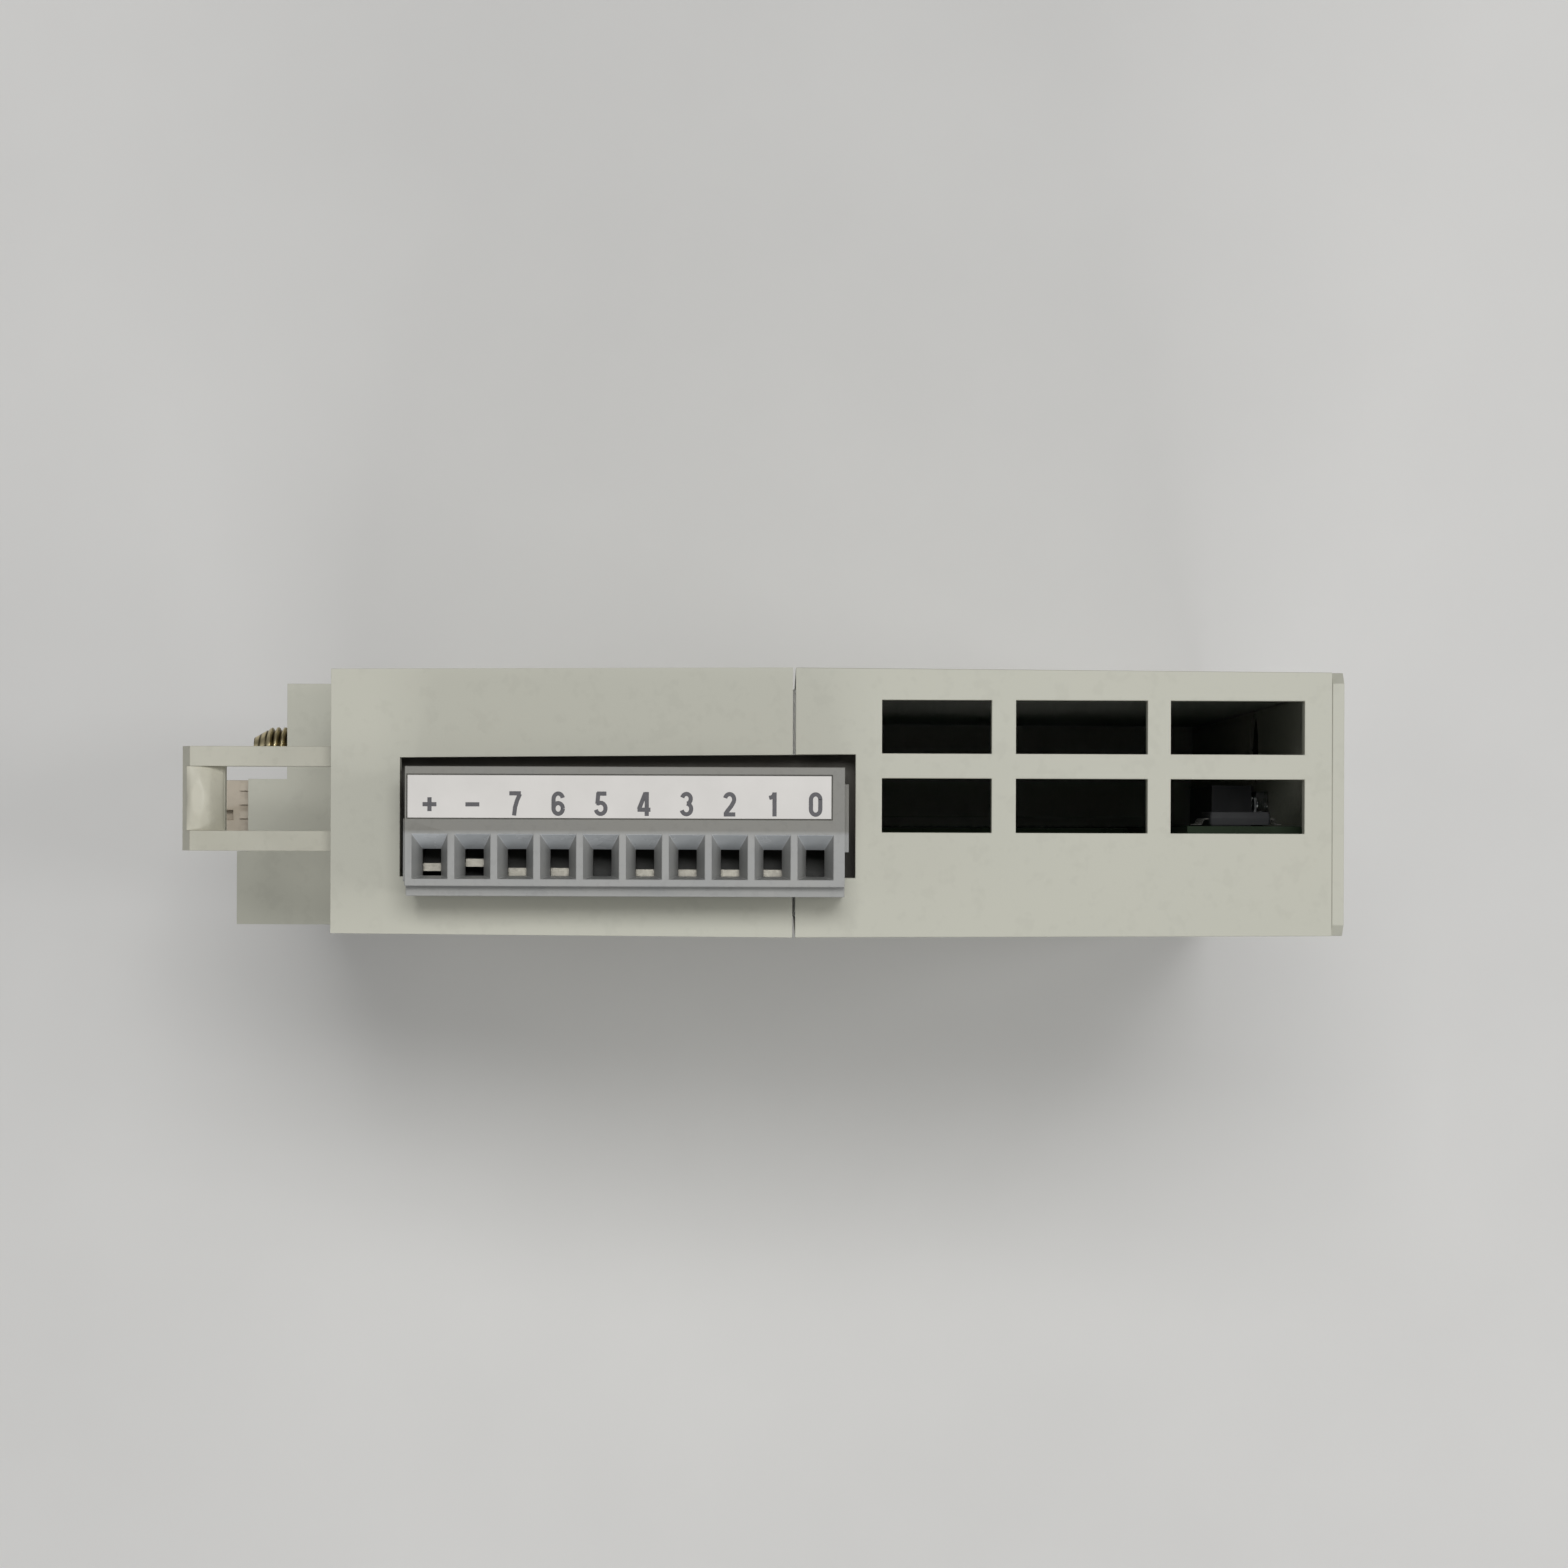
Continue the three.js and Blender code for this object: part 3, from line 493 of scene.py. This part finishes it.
def paintLightInside(shell, node):
    # faces inside the hollow get a near-white copy of the housing's plastic, painted light that lifts the
    # shade seen through the vents
    mesh = shell.data
    mesh.materials.append(materials["paintedLightInsideAbs"])
    (x, y, z), _ = faceFacts(mesh)
    low, high = nodeBox(node) / mm
    depth = hollow["wall"] - hollow["slack"]
    half = np.interp(np.abs(y - seamY), [0, hollow["taperLong"]], [hollow["seamHalf"], hollow["endHalf"]])
    hidden = (np.abs(x) < half - depth) & (z > depth) & (z < high[2] - depth)
    hidden &= (y > low[1] + hollow["slack"]) & (y < rearY - depth)
    mesh.polygons.foreach_set("material_index", hidden.astype(int))


for node in ("rear_housing", "front_housing"):
    paintLightInside(shells[node], node)

panelSeat = {"plate": 1.0, "close": 0.085, "found": 0.01}


def seatPanel(shell):
    # the plate is pushed home: the plane behind it moves up to the housing's edge
    back = nodeBox("front_panel")[0, 1] + panelSeat["plate"] * mm
    for vertex in shell.data.vertices:
        if abs(vertex.co.y - back) < panelSeat["found"] * mm:
            vertex.co.y += panelSeat["close"] * mm


seatPanel(shells["front_panel"])
print("moulded parts softened:", len(shells))

# the marks in mm: their size, half a stroke's width, its thickness, and how far the card sinks below them
markings = {"high": 2.13, "wide": 1.15, "bold": 0.185, "fromEdge": 0.22, "thick": 0.01, "sink": 0.016,
            "stagger": 0.002, "under": 0.001, "fieldWide": 0.54}

# each mark as strokes on a field one high, its middle lines in x (0 to fieldWide) and y
strokes = {
    "0": [np.vstack([arc(0.27, 0.70, 0.195, 0.225, 0, 180), arc(0.27, 0.30, 0.195, 0.225, 180, 360),
                     [(0.465, 0.72)]])],
    "1": [[(0.345, 0.0), (0.345, 1.0)], [(0.12, 0.77), (0.24, 0.80), (0.31, 0.88), (0.345, 0.97)]],
    "2": [np.vstack([arc(0.26, 0.70, 0.19, 0.225, 165, -25, 16),
                     [(0.33, 0.42), (0.17, 0.22), (0.085, 0.08)]]), [(0.02, 0.075), (0.50, 0.075)]],
    "3": [arc(0.25, 0.72, 0.18, 0.205, 165, -80), arc(0.25, 0.30, 0.20, 0.225, 85, -165)],
    "4": [[(0.33, 0.97), (0.06, 0.28)], [(0.0, 0.26), (0.54, 0.26)], [(0.385, 0.0), (0.385, 1.0)]],
    "5": [[(0.10, 0.925), (0.49, 0.925)], [(0.155, 0.97), (0.115, 0.50)],
          np.vstack([[(0.09, 0.53)], arc(0.25, 0.31, 0.205, 0.235, 120, -165)])],
    "6": [arc(0.27, 0.30, 0.195, 0.225, 0, 360, 22),
          np.vstack([[(0.075, 0.30), (0.075, 0.60)], arc(0.27, 0.68, 0.195, 0.245, 180, 15)])],
    "7": [[(0.02, 0.925), (0.50, 0.925)], [(0.46, 0.90), (0.34, 0.62), (0.26, 0.34), (0.22, 0.0)]],
    "minus": [[(-0.02, 0.46), (0.56, 0.46)]],
    "plus": [[(-0.02, 0.46), (0.56, 0.46)], [(0.27, 0.17), (0.27, 0.75)]],
}


def strokePart(stroke, x, y, z):
    # a flat bar carried along the stroke, read with its top towards +X and its right towards -Y
    line = np.asarray(stroke, float)
    across = (line[:, 0] / markings["fieldWide"] - 0.5) * markings["wide"] * mm
    path = np.column_stack([x + line[:, 1] * markings["high"] * mm, y - across, np.full(len(line), z)])
    along = np.gradient(path, axis=0)
    along /= np.linalg.norm(along, axis=1)[:, None]
    sideways = np.column_stack([along[:, 1], -along[:, 0], np.zeros(len(path))])
    return swept(path, sideways, [0, 0, 1], markings["bold"] * mm, markings["thick"] * mm)


stripLow, stripHigh = nodeBox("marker_strip")
markX = stripLow[0] + markings["fromEdge"] * mm
for vertex in shells["marker_strip"].data.vertices:              # room for the ink under the part's top
    if vertex.co.z > stripHigh[2] - markings["under"] * mm:
        vertex.co.z -= markings["sink"] * mm
markZ = stripHigh[2] - (markings["thick"] + markings["under"]) * mm
# a mark's later strokes lie a little lower, so that no two faces share a plane where they cross
addPiece("marker_print", [strokePart(stroke, markX, y, markZ - i * markings["stagger"] * mm)
                          for name, y in zip(poleNames, poleY) for i, stroke in enumerate(strokes[name])],
         "screenInk", "terminal_plug", angle=0)
print("marker strip printed")


def slottedHead(radius, high, slotHalf, slotDeep, edge, columns=25, rimFrom=0.8):
    # a screw's head, cut by planes across the slot: at each v the section runs over the top and back
    # under the head, u = t * sqrt(R*R - v*v), top height = edge * ((rho / R - rimFrom) / (1 - rimFrom))
    # squared near the rim, and the slot's depth where |v| is inside the slot
    outer = radius * np.sin(np.linspace(np.arcsin(slotHalf / radius), np.pi / 2, 9))
    inSlot = np.array([-slotHalf, slotHalf]) * 0.999
    v = np.concatenate([-outer[::-1], inSlot, outer])
    deep = np.abs(v) < slotHalf * 0.9995
    t = np.sin(np.linspace(-np.pi / 2, np.pi / 2, columns))
    u = t[None] * np.sqrt(np.maximum(radius ** 2 - v[:, None] ** 2, 0))
    rho = np.hypot(u, v[:, None]) / radius
    top = edge * np.clip((rho - rimFrom) / (1 - rimFrom), 0, 1) ** 2
    top = np.where(deep[:, None], slotDeep, top)
    over = np.stack([u, np.repeat(v[:, None], columns, 1), top], -1)
    under = over[:, ::-1].copy()
    under[:, :, 2] = high
    return tube(np.concatenate([over, under], 1))


threadForm = {"rowsPerTurn": 9, "deep": 0.58, "steep": 1.45, "flat": 0.15, "oilFrom": 1.3, "oilFade": 1.5}


def threadedShank(radius, pitch, start, end, point, pointR, sides=40):
    # r = R - depth * (1 - crest) with crest a flattened triangle wave of (height / pitch - turn), cut
    # back to a cone at the point; the second result is the root attribute, 1 deep in the groove
    rows = int((end - start) / pitch * threadForm["rowsPerTurn"]) + 2
    w = np.linspace(start, end, rows)[:, None]
    a = np.linspace(0, 2 * np.pi, sides, endpoint=False)[None]
    turn = (w / pitch - a / (2 * np.pi)) % 1.0
    crest = np.clip(threadForm["steep"] * (1 - np.abs(2 * turn - 1)) - threadForm["flat"], 0, 1)
    depth = threadForm["deep"] * pitch
    cone = pointR + (radius - pointR) * np.clip((end - w) / point, 0, 1)
    r = np.minimum(radius - depth * (1 - crest), cone)
    rings = np.stack([r * np.cos(a), r * np.sin(a), np.repeat(w, sides, 1)], -1)
    part = tube(rings)
    groove = np.clip(1 - crest * threadForm["oilFrom"], 0, 1) ** threadForm["oilFade"]
    ends = [groove[:1], groove, groove[-1:]]
    return part, np.concatenate(ends).reshape(-1)


# screws in mm, with the coarse pitches of M4 and M2
captive = {"headR": 3.3, "headHigh": 2.6, "slotHalf": 0.5, "slotDeep": 1.1, "edge": 0.35, "r": 2.0,
           "neckR": 1.55, "neckLong": 1.1, "step": 0.1, "threadLong": 7.35, "point": 1.9, "pointR": 0.9,
           "pitch": 0.7}
clampScrew = {"headR": 1.5, "headHigh": 1.35, "slotHalf": 0.25, "slotDeep": 0.6, "edge": 0.2, "r": 1.0,
              "point": 0.5, "pointR": 0.6, "pitch": 0.4}


def scaled(look):
    # a dictionary in mm turned to metres
    return {key: value * mm for key, value in look.items()}


def makeCaptiveScrew():
    # slotted cheese head, plain shank, neck for the ring, then an M4 thread with a cone point;
    # local z runs from the head's top to the point
    s = scaled(captive)
    low, high = nodeBox("captive_screw")
    long = high[1] - low[1]
    head = slottedHead(s["headR"], s["headHigh"], s["slotHalf"], s["slotDeep"], s["edge"])
    threadStart = long - s["threadLong"]
    shankEnd = threadStart - s["neckLong"] - s["step"]
    shank = tube(turned([(s["r"], s["headHigh"]), (s["r"], shankEnd - s["step"]),
                         (s["r"] - s["step"], shankEnd), (s["neckR"], shankEnd),
                         (s["neckR"], threadStart)], 40))
    thread, groove = threadedShank(s["r"], s["pitch"], threadStart, long, s["point"], s["pointR"])
    origin = [low[0] + (high[0] - low[0]) / 2, low[1], low[2] + (high[2] - low[2]) / 2]
    axes = [[1, 0, 0], [0, 0, 1], [0, 1, 0]]
    parts = [placed(part, origin, axes) for part in (head, shank, thread)]
    root = np.concatenate([np.zeros(len(head[0]) + len(shank[0])), groove])
    addPiece("captive_screw_cut", parts, "chromatedSteel", "captive_screw", ["captive_screw"],
             angle=50, root=root)


def makeTerminalScrew(name):
    s = scaled(clampScrew)
    low, high = nodeBox(f"terminal_screw_{name}")
    head = slottedHead(s["headR"], s["headHigh"], s["slotHalf"], s["slotDeep"], s["edge"])
    thread, groove = threadedShank(s["r"], s["pitch"], s["headHigh"], high[0] - low[0], s["point"],
                                   s["pointR"], 24)
    origin = [high[0], (low[1] + high[1]) / 2, (low[2] + high[2]) / 2]
    axes = [[0, 1, 0], [0, 0, 1], [-1, 0, 0]]
    root = np.concatenate([np.zeros(len(head[0])), groove])
    addPiece(f"terminal_screw_{name}_cut", [placed(part, origin, axes) for part in (head, thread)],
             "nickelPlatedSteel", f"terminal_screw_{name}", [f"terminal_screw_{name}"],
             angle=50, root=root)


ringLook = {"inner": 1.75, "outer": 3.1, "gapDeg": 38, "steps": 56}


def makeRetainingRing():
    # a flat wire section carried round the neck, open by a gap that faces down
    low, high = nodeBox("retaining_ring")
    thick = high[1] - low[1]
    near, far = ringLook["inner"] * mm, ringLook["outer"] * mm
    a = np.radians(np.linspace(-90 + ringLook["gapDeg"], 270 - ringLook["gapDeg"], ringLook["steps"]))
    out = np.column_stack([np.cos(a), np.zeros(len(a)), np.sin(a)])
    path = (low + high) / 2 + out * (near + far) / 2 - [0, thick / 2, 0]
    ring = swept(path, out, [0, 1, 0], (far - near) / 2, thick)
    addPiece("retaining_ring_bent", [ring], "nickelPlatedSteel", "retaining_ring",
             ["retaining_ring"])


makeCaptiveScrew()
makeRetainingRing()
for name in poleNames:
    makeTerminalScrew(name)
print("screws and ring turned")

# the header's flange in mm: bottom, height, both long sides and how far it passes the header's ends
flange = {"z0": 109.6, "high": 1.4, "x0": -8.4, "x1": 5.3, "yOut": 2.0}


def makeHeaderFlange():
    # a flat frame round the header, just under the housing's opening: four bars from corner to corner
    low, high = nodeBox("terminal_header")
    x0, x1 = flange["x0"] * mm, flange["x1"] * mm
    y0, y1 = low[1] - flange["yOut"] * mm, high[1] + flange["yOut"] * mm
    z = flange["z0"] * mm
    bars = []
    for a, b, inner in (((x0, y0), (x0, y1), low[0]), ((x1, y0), (x1, y1), high[0])):
        half = abs(inner - a[0]) / 2
        middle = (a[0] + inner) / 2
        bars.append(swept([(middle, a[1], z), (middle, b[1], z)], [1, 0, 0], [0, 0, 1], half,
                          flange["high"] * mm))
    for y, inner in ((y0, low[1]), (y1, high[1])):
        middle = (y + inner) / 2
        bars.append(swept([(low[0], middle, z), (high[0], middle, z)], [0, 1, 0], [0, 0, 1],
                          abs(inner - y) / 2, flange["high"] * mm))
    addPiece("terminal_header_flange", bars, "headerPolyamide", "root")


makeHeaderFlange()

# the hook's end bar in mm: the rails' width, the bar's reach back from the end, and the CAD ramp as
# drops below the top at distances from the end
hookRamp = {"rise": 0.75, "foot": 1.2, "edge": 0.04, "proud": 0.25, "rail": 1.87, "from": 3.75, "to": 0.55,
            "rampAt": [0.55, 0.85, 1.8, 2.7, 3.35, 3.85], "rampDrop": [0.2, 0.15, 0.3, 0.8, 1.5, 2.0],
            "across": 25, "along": 21}


def makeHookRamp():
    # the end bar's worn barrel: height = CAD ramp + rise * (1 - s*s) * sin(pi * t) ^ 0.8, where s runs
    # from rail to rail and t from the bar's inner edge to its outer edge
    low, high = nodeBox("carrier_hook")
    rows, columns = hookRamp["across"], hookRamp["along"]
    x0, x1 = low[0] + hookRamp["rail"] * mm, high[0] - hookRamp["rail"] * mm
    y0, y1 = high[1] - hookRamp["from"] * mm, high[1] - hookRamp["to"] * mm
    s = np.linspace(-1, 1, rows)[:, None]
    t = np.linspace(0, 1, columns)[None]
    y = y0 + (y1 - y0) * t
    ramp = np.interp((high[1] - y) / mm, hookRamp["rampAt"], hookRamp["rampDrop"])
    top = high[2] - ramp * mm + hookRamp["edge"] * mm
    top = top + hookRamp["rise"] * mm * (1 - s ** 2) * np.sin(np.pi * t).clip(0, 1) ** 0.8
    top = np.minimum(top, high[2] + hookRamp["proud"] * mm)
    x = np.repeat((x0 + x1) / 2 + s * (x1 - x0) / 2, columns, 1)
    over = np.stack([x, np.repeat(y, rows, 0), top], -1)
    under = over[:, ::-1].copy()
    under[:, :, 2] = high[2] - (hookRamp["rampDrop"][-1] + hookRamp["foot"] / 2) * mm
    # the barrel wears a lighter copy of the hook's plastic, a painted highlight on the ramp
    addPiece("carrier_hook_barrel", [tube(np.concatenate([over, under], 1))], "rampHighlightPolyamide",
             "carrier_hook", angle=40)


makeHookRamp()

springs = {"count": 13, "step": 3.6, "rows": ((-3.7, 1), (1.3, -1)), "half": 0.32, "thick": 0.12,
           "bow": 0.55, "off": 0.15, "from": 0.35, "long": 3.5}
comb = {"count": 5, "fromSide": 0.7, "from": 3.4, "to": 2.3, "sunk": 0.02, "half": 0.35, "high": 0.5}


def makeBusDetails():
    # a bent strip in every contact slot: it runs in along -Y and bows by sin(pi t) towards the mating card;
    # and a comb of small ribs on the connector's top end
    low, high = nodeBox("bus_connector")
    t = np.linspace(0, 1, 9)
    parts = []
    for i in range(springs["count"]):
        z = (low[2] + high[2]) / 2 + (i - (springs["count"] - 1) / 2) * springs["step"] * mm
        for rowX, way in springs["rows"]:
            bow = springs["off"] + springs["bow"] * np.sin(np.pi * t)
            y = high[1] - (springs["from"] + springs["long"] * t) * mm
            path = np.column_stack([(rowX + way * bow) * mm, y, np.full(len(t), z)])
            parts.append(swept(path, [0, 0, 1], [way, 0, 0], springs["half"] * mm, springs["thick"] * mm))
    addPiece("bus_contact_springs", parts, "goldFlashedSpring", "root")
    ribs = []
    side, z = comb["fromSide"] * mm, high[2] - comb["sunk"] * mm
    for x in np.linspace(low[0] + side, high[0] - side, comb["count"]):
        path = [[x, high[1] - comb["from"] * mm, z], [x, high[1] - comb["to"] * mm, z]]
        ribs.append(swept(path, [1, 0, 0], [0, 0, 1], comb["half"] * mm, comb["high"] * mm))
    addPiece("bus_connector_ribs", ribs, "busConnectorPbt", "root")


makeBusDetails()
print("hook barrel and bus connector detailed")

# a package's corner radius in mm, its outlines' heights as shares of its own, and the small step at its
# top; then its leads in mm, with the knee and the foot as shares of their reach
packageLook = {"corner": 0.25, "sides": 24, "heights": [0.03, 0.5, 0.55, 0.96, 1.0], "step": 0.06}
leadLook = {"thick": 0.1, "wide": 0.42, "root": 0.1, "foot": 0.12, "kneeAt": 0.4, "footAt": 0.62}


def package(box, draft):
    # a moulded package that stands on the board's +X side: rounded rectangle outlines carried along X,
    # drawn in towards both faces from the parting line in the middle
    (x0, y0, z0), (x1, y1, z1) = box
    sides, corner = packageLook["sides"], packageLook["corner"] * mm
    a = np.radians((np.arange(sides) + 0.5) * 360 / sides)
    signY, signZ = np.sign(np.cos(a)), np.sign(np.sin(a))
    outY = signY * ((y1 - y0) / 2 - corner) + np.cos(a) * corner + (y0 + y1) / 2
    outZ = signZ * ((z1 - z0) / 2 - corner) + np.sin(a) * corner + (z0 + z1) / 2
    insets = np.array([draft, 0.0, 0.0, draft, draft + packageLook["step"]]) * mm
    rings = [np.stack([np.full(sides, x0 + (x1 - x0) * h), outY - signY * d, outZ - signZ * d], -1)
             for h, d in zip(packageLook["heights"], insets)]
    return tube(np.stack(rings))


def packageLeads(box, pitch, reach, inset):
    # gull-wing leads out of both Y sides, carried along out, down and out again
    (x0, y0, z0), (x1, y1, z1) = box
    mid, foot = (x0 + x1) / 2, x0 + leadLook["foot"] * mm
    count = int((z1 - z0 - 2 * inset) / pitch) + 1
    parts = []
    for side, edge in ((-1, y0), (1, y1)):
        for z in (z0 + z1) / 2 + (np.arange(count) - (count - 1) / 2) * pitch:
            path = [[mid, edge - side * leadLook["root"] * mm, z],
                    [mid, edge + side * reach * leadLook["kneeAt"], z],
                    [foot, edge + side * reach * leadLook["footAt"], z], [foot, edge + side * reach, z]]
            parts.append(swept(path, [0, 0, 1], [-0.7, side * 0.7, 0], leadLook["wide"] / 2 * mm,
                               leadLook["thick"] * mm))
    return parts


packages = {
    # the walls' draft, the leads' pitch, reach and inset, how many packages share the node, and the gap
    # that each keeps to its neighbour's middle line
    "driver_chip": {"draft": 0.08, "pitch": 1.27, "reach": 1.0, "inset": 0.4, "share": 1, "gap": 0.0},
    "logic_chip": {"draft": 0.15, "pitch": 2.54, "reach": 0.9, "inset": 0.9, "share": 1, "gap": 0.0},
    "optocoupler_bank": {"draft": 0.15, "pitch": 2.54, "reach": 0.8, "inset": 0.8, "share": 8, "gap": 0.25},
}


def makePackages():
    for node, look in packages.items():
        box = nodeBox(node)
        each = (box[1, 2] - box[0, 2]) / look["share"]
        bodies, leads = [], []
        for i in range(look["share"]):
            one = box.copy()
            one[0, 2] = box[0, 2] + i * each + look["gap"] * mm
            one[1, 2] = box[0, 2] + (i + 1) * each - look["gap"] * mm
            bodies.append(package(one, look["draft"]))
            leads += packageLeads(one, look["pitch"] * mm, look["reach"] * mm, look["inset"] * mm)
        addPiece(node + "_moulded", bodies, "epoxyPackage", "root", [node])
        addPiece(node + "_leads", leads, "oxidisedTin", "root", angle=20)


# in mm; the sleeve as (how much is taken off the radius, height), where heights below 0 count from the top
canLook = {"sleeve": [(0.3, 0), (0.05, 0.1), (0, 0.5), (0.25, 1.0), (0.4, 1.4), (0.2, 1.8), (0, 2.4),
                      (0, -0.5), (0.12, -0.2), (0.4, -0.06), (0.75, -0.06)],
           "sides": 40, "lidInset": 0.8, "skirt": 0.3, "score": 0.05, "scoreWide": 0.25}


def makeCapacitor():
    # a sleeved can, rolled in near its base and round at its rim, with a scored cross in its metal top:
    # lid height = top - score * (exp(-(u / wide) squared) + exp(-(v / wide) squared))
    low, high = nodeBox("capacitor")
    long, r = (high[0] - low[0]) / mm, (high[1] - low[1]) / 2 / mm
    origin = [low[0], (low[1] + high[1]) / 2, (low[2] + high[2]) / 2]
    axes = [[0, 1, 0], [0, 0, 1], [1, 0, 0]]
    outline = [(r - off, long + h if h < 0 else h) for off, h in canLook["sleeve"]]
    sleeve = tube(turned(np.array(outline) * mm, canLook["sides"]))
    addPiece("capacitor_sleeve", [placed(sleeve, origin, axes)], "capacitorSleevePvc", "root",
             ["capacitor"], angle=40)
    rho = np.linspace(0.02, 1, 12)[:, None] * (r - canLook["lidInset"])
    a = np.linspace(0, 2 * np.pi, canLook["sides"], endpoint=False)[None]
    u, v = rho * np.cos(a), rho * np.sin(a)
    wide, deep = canLook["scoreWide"], canLook["score"]
    score = deep * (np.exp(-(u / wide) ** 2) + np.exp(-(v / wide) ** 2))
    rings = np.stack([u, v, long - score.clip(0, deep)], -1)
    skirt = rings[-1:].copy()
    skirt[:, :, 2] = long - canLook["skirt"]
    disc = tube(np.concatenate([rings, skirt]) * mm)
    addPiece("capacitor_top", [placed(disc, origin, axes)], "drawnAluminium", "root",
             angle=40)


domes = {"count": 8, "step": 2.4, "first": 2.2, "x": 0.2, "r": 0.75, "high": 0.9, "sunk": 0.02}


def makeLightDomes():
    # a row of clear domes on the light block: r = R cos e, height = H sin e
    low, high = nodeBox("led_block")
    e = np.radians(np.linspace(0, 88, 8))
    dome = tube(turned(np.column_stack([domes["r"] * np.cos(e), domes["high"] * np.sin(e)]) * mm, 20))
    parts = [placed(dome, [domes["x"] * mm, low[1] + domes["sunk"] * mm,
                           low[2] + (domes["first"] + domes["step"] * i) * mm],
                    [[1, 0, 0], [0, 0, 1], [0, -1, 0]]) for i in range(domes["count"])]
    addPiece("led_domes", parts, "clearPolycarbonate", "root", angle=40)


shutter = {"r": 3.9, "deep": 0.5, "slit": 0.16, "slitDeep": 0.25, "slitEnd": 3.4, "dish": 0.35, "set": 1.15}


def makeHoleShutter():
    # a soft dust shutter in the panel's screwdriver hole: depth = dish * (1 - (rho / R) squared), with
    # two crossed slits pressed in by exp(-(distance / slit) squared)
    low, high = nodeBox("captive_screw")
    front = nodeBox("front_panel")[0, 1]
    rho = np.linspace(0.03, 1, 16)[:, None] * shutter["r"]
    a = np.linspace(0, 2 * np.pi, 64, endpoint=False)[None]
    u, v = rho * np.cos(a), rho * np.sin(a)
    slits = np.exp(-(u / shutter["slit"]) ** 2) + np.exp(-(v / shutter["slit"]) ** 2)
    slits = shutter["slitDeep"] * slits.clip(0, 1) * (rho < shutter["slitEnd"])
    depth = shutter["dish"] * (1 - (rho / shutter["r"]) ** 2) + slits
    face = np.stack([u, v, depth], -1)
    back = face[::-1].copy()
    back[:, :, 2] += shutter["deep"]
    rings = np.concatenate([face, back]) * mm
    origin = [(low[0] + high[0]) / 2, front + shutter["set"] * mm, (low[2] + high[2]) / 2]
    part = placed(tube(rings), origin, [[1, 0, 0], [0, 0, 1], [0, 1, 0]])
    addPiece("driver_hole_shutter", [part], "headerPolyamide", "root", angle=50)


makePackages()
makeHoleShutter()
makeCapacitor()
makeLightDomes()
print("board components made")

stageLook = {"colours": ["d2d1cf", "d8d7d5"], "roughness": 0.7, "cloudMm": 60, "grainMm": 1.5,
             "grainDepthMm": 0.01, "size": 1.6}


def makeStage():
    # Matt coated paper: white-grey, with the faintest cloudiness
    half = stageLook["size"] / 2
    mesh = bpy.data.meshes.new("floor")
    corners = [(-half, -half, 0), (half, -half, 0), (half, half, 0), (-half, half, 0)]
    mesh.from_pydata(corners, [], [(0, 1, 2, 3)])
    floor = bpy.data.objects.new("floor", mesh)
    bpy.context.collection.objects.link(floor)
    material, tree, shader, place = newMaterial("coatedPaper", stageLook["roughness"], ior=1.4)
    dressSurface(tree, shader, place, stageLook)
    mesh.materials.append(material)


softboxes = {
    # place in metres, width and height, power in watts
    "keySoftbox": {"place": (0.275, -0.05, 1.17), "size": (0.5, 0.26), "power": 6.2},
    "frontSoftbox": {"place": (0.0, -0.9, 0.7), "size": (0.5, 0.5), "power": 3.4},
    "carrierSoftbox": {"place": (0.0, 0.9, 0.7), "size": (0.5, 0.5), "power": 0.7},
    "fillSoftbox": {"place": (-0.86, 0.0, 0.72), "size": (0.5, 0.5), "power": 2.3},
}
room = {"colour": "f4f6f7", "strength": 0.20}


def makeLights():
    for name, look in softboxes.items():
        light = bpy.data.lights.new(name, "AREA")
        light.shape = "RECTANGLE"
        light.size, light.size_y = look["size"]
        light.energy = look["power"]
        lamp = bpy.data.objects.new(name, light)
        lamp.location = look["place"]
        lamp.rotation_euler = (-lamp.location).to_track_quat("-Z", "Y").to_euler()
        bpy.context.collection.objects.link(lamp)
    world = bpy.data.worlds.new("softRoom")
    world.use_nodes = True
    sky = world.node_tree.nodes["Background"]
    sky.inputs["Color"].default_value = linear(room["colour"])
    sky.inputs["Strength"].default_value = room["strength"]
    bpy.context.scene.world = world


view = {
    # straight above the connector face: distance to that face, place over it, and how much of that
    # face's plane the view takes in
    "distance": 0.360, "x": -3.2 * mm, "y": -3.1 * mm, "widthAtFace": 142.8 * mm, "shiftY": 0.0342,
    "rollDeg": 0.2, "sensor": 36,
}


def makeCamera():
    camera = bpy.data.cameras.new("cameraAbove")
    camera.sensor_width = view["sensor"]
    camera.lens = view["sensor"] * view["distance"] / view["widthAtFace"]
    camera.shift_y = view["shiftY"]
    camera.clip_start = 0.01
    holder = bpy.data.objects.new("cameraAbove", camera)
    holder.location = (view["x"], view["y"], faceZ + view["distance"])
    holder.rotation_euler = (0, 0, math.radians(-90 + view["rollDeg"]))
    bpy.context.collection.objects.link(holder)
    bpy.context.scene.camera = holder


makeStage()
makeLights()
makeCamera()
bpy.context.scene.view_settings.view_transform = "Standard"
print("stage, lights and camera placed")
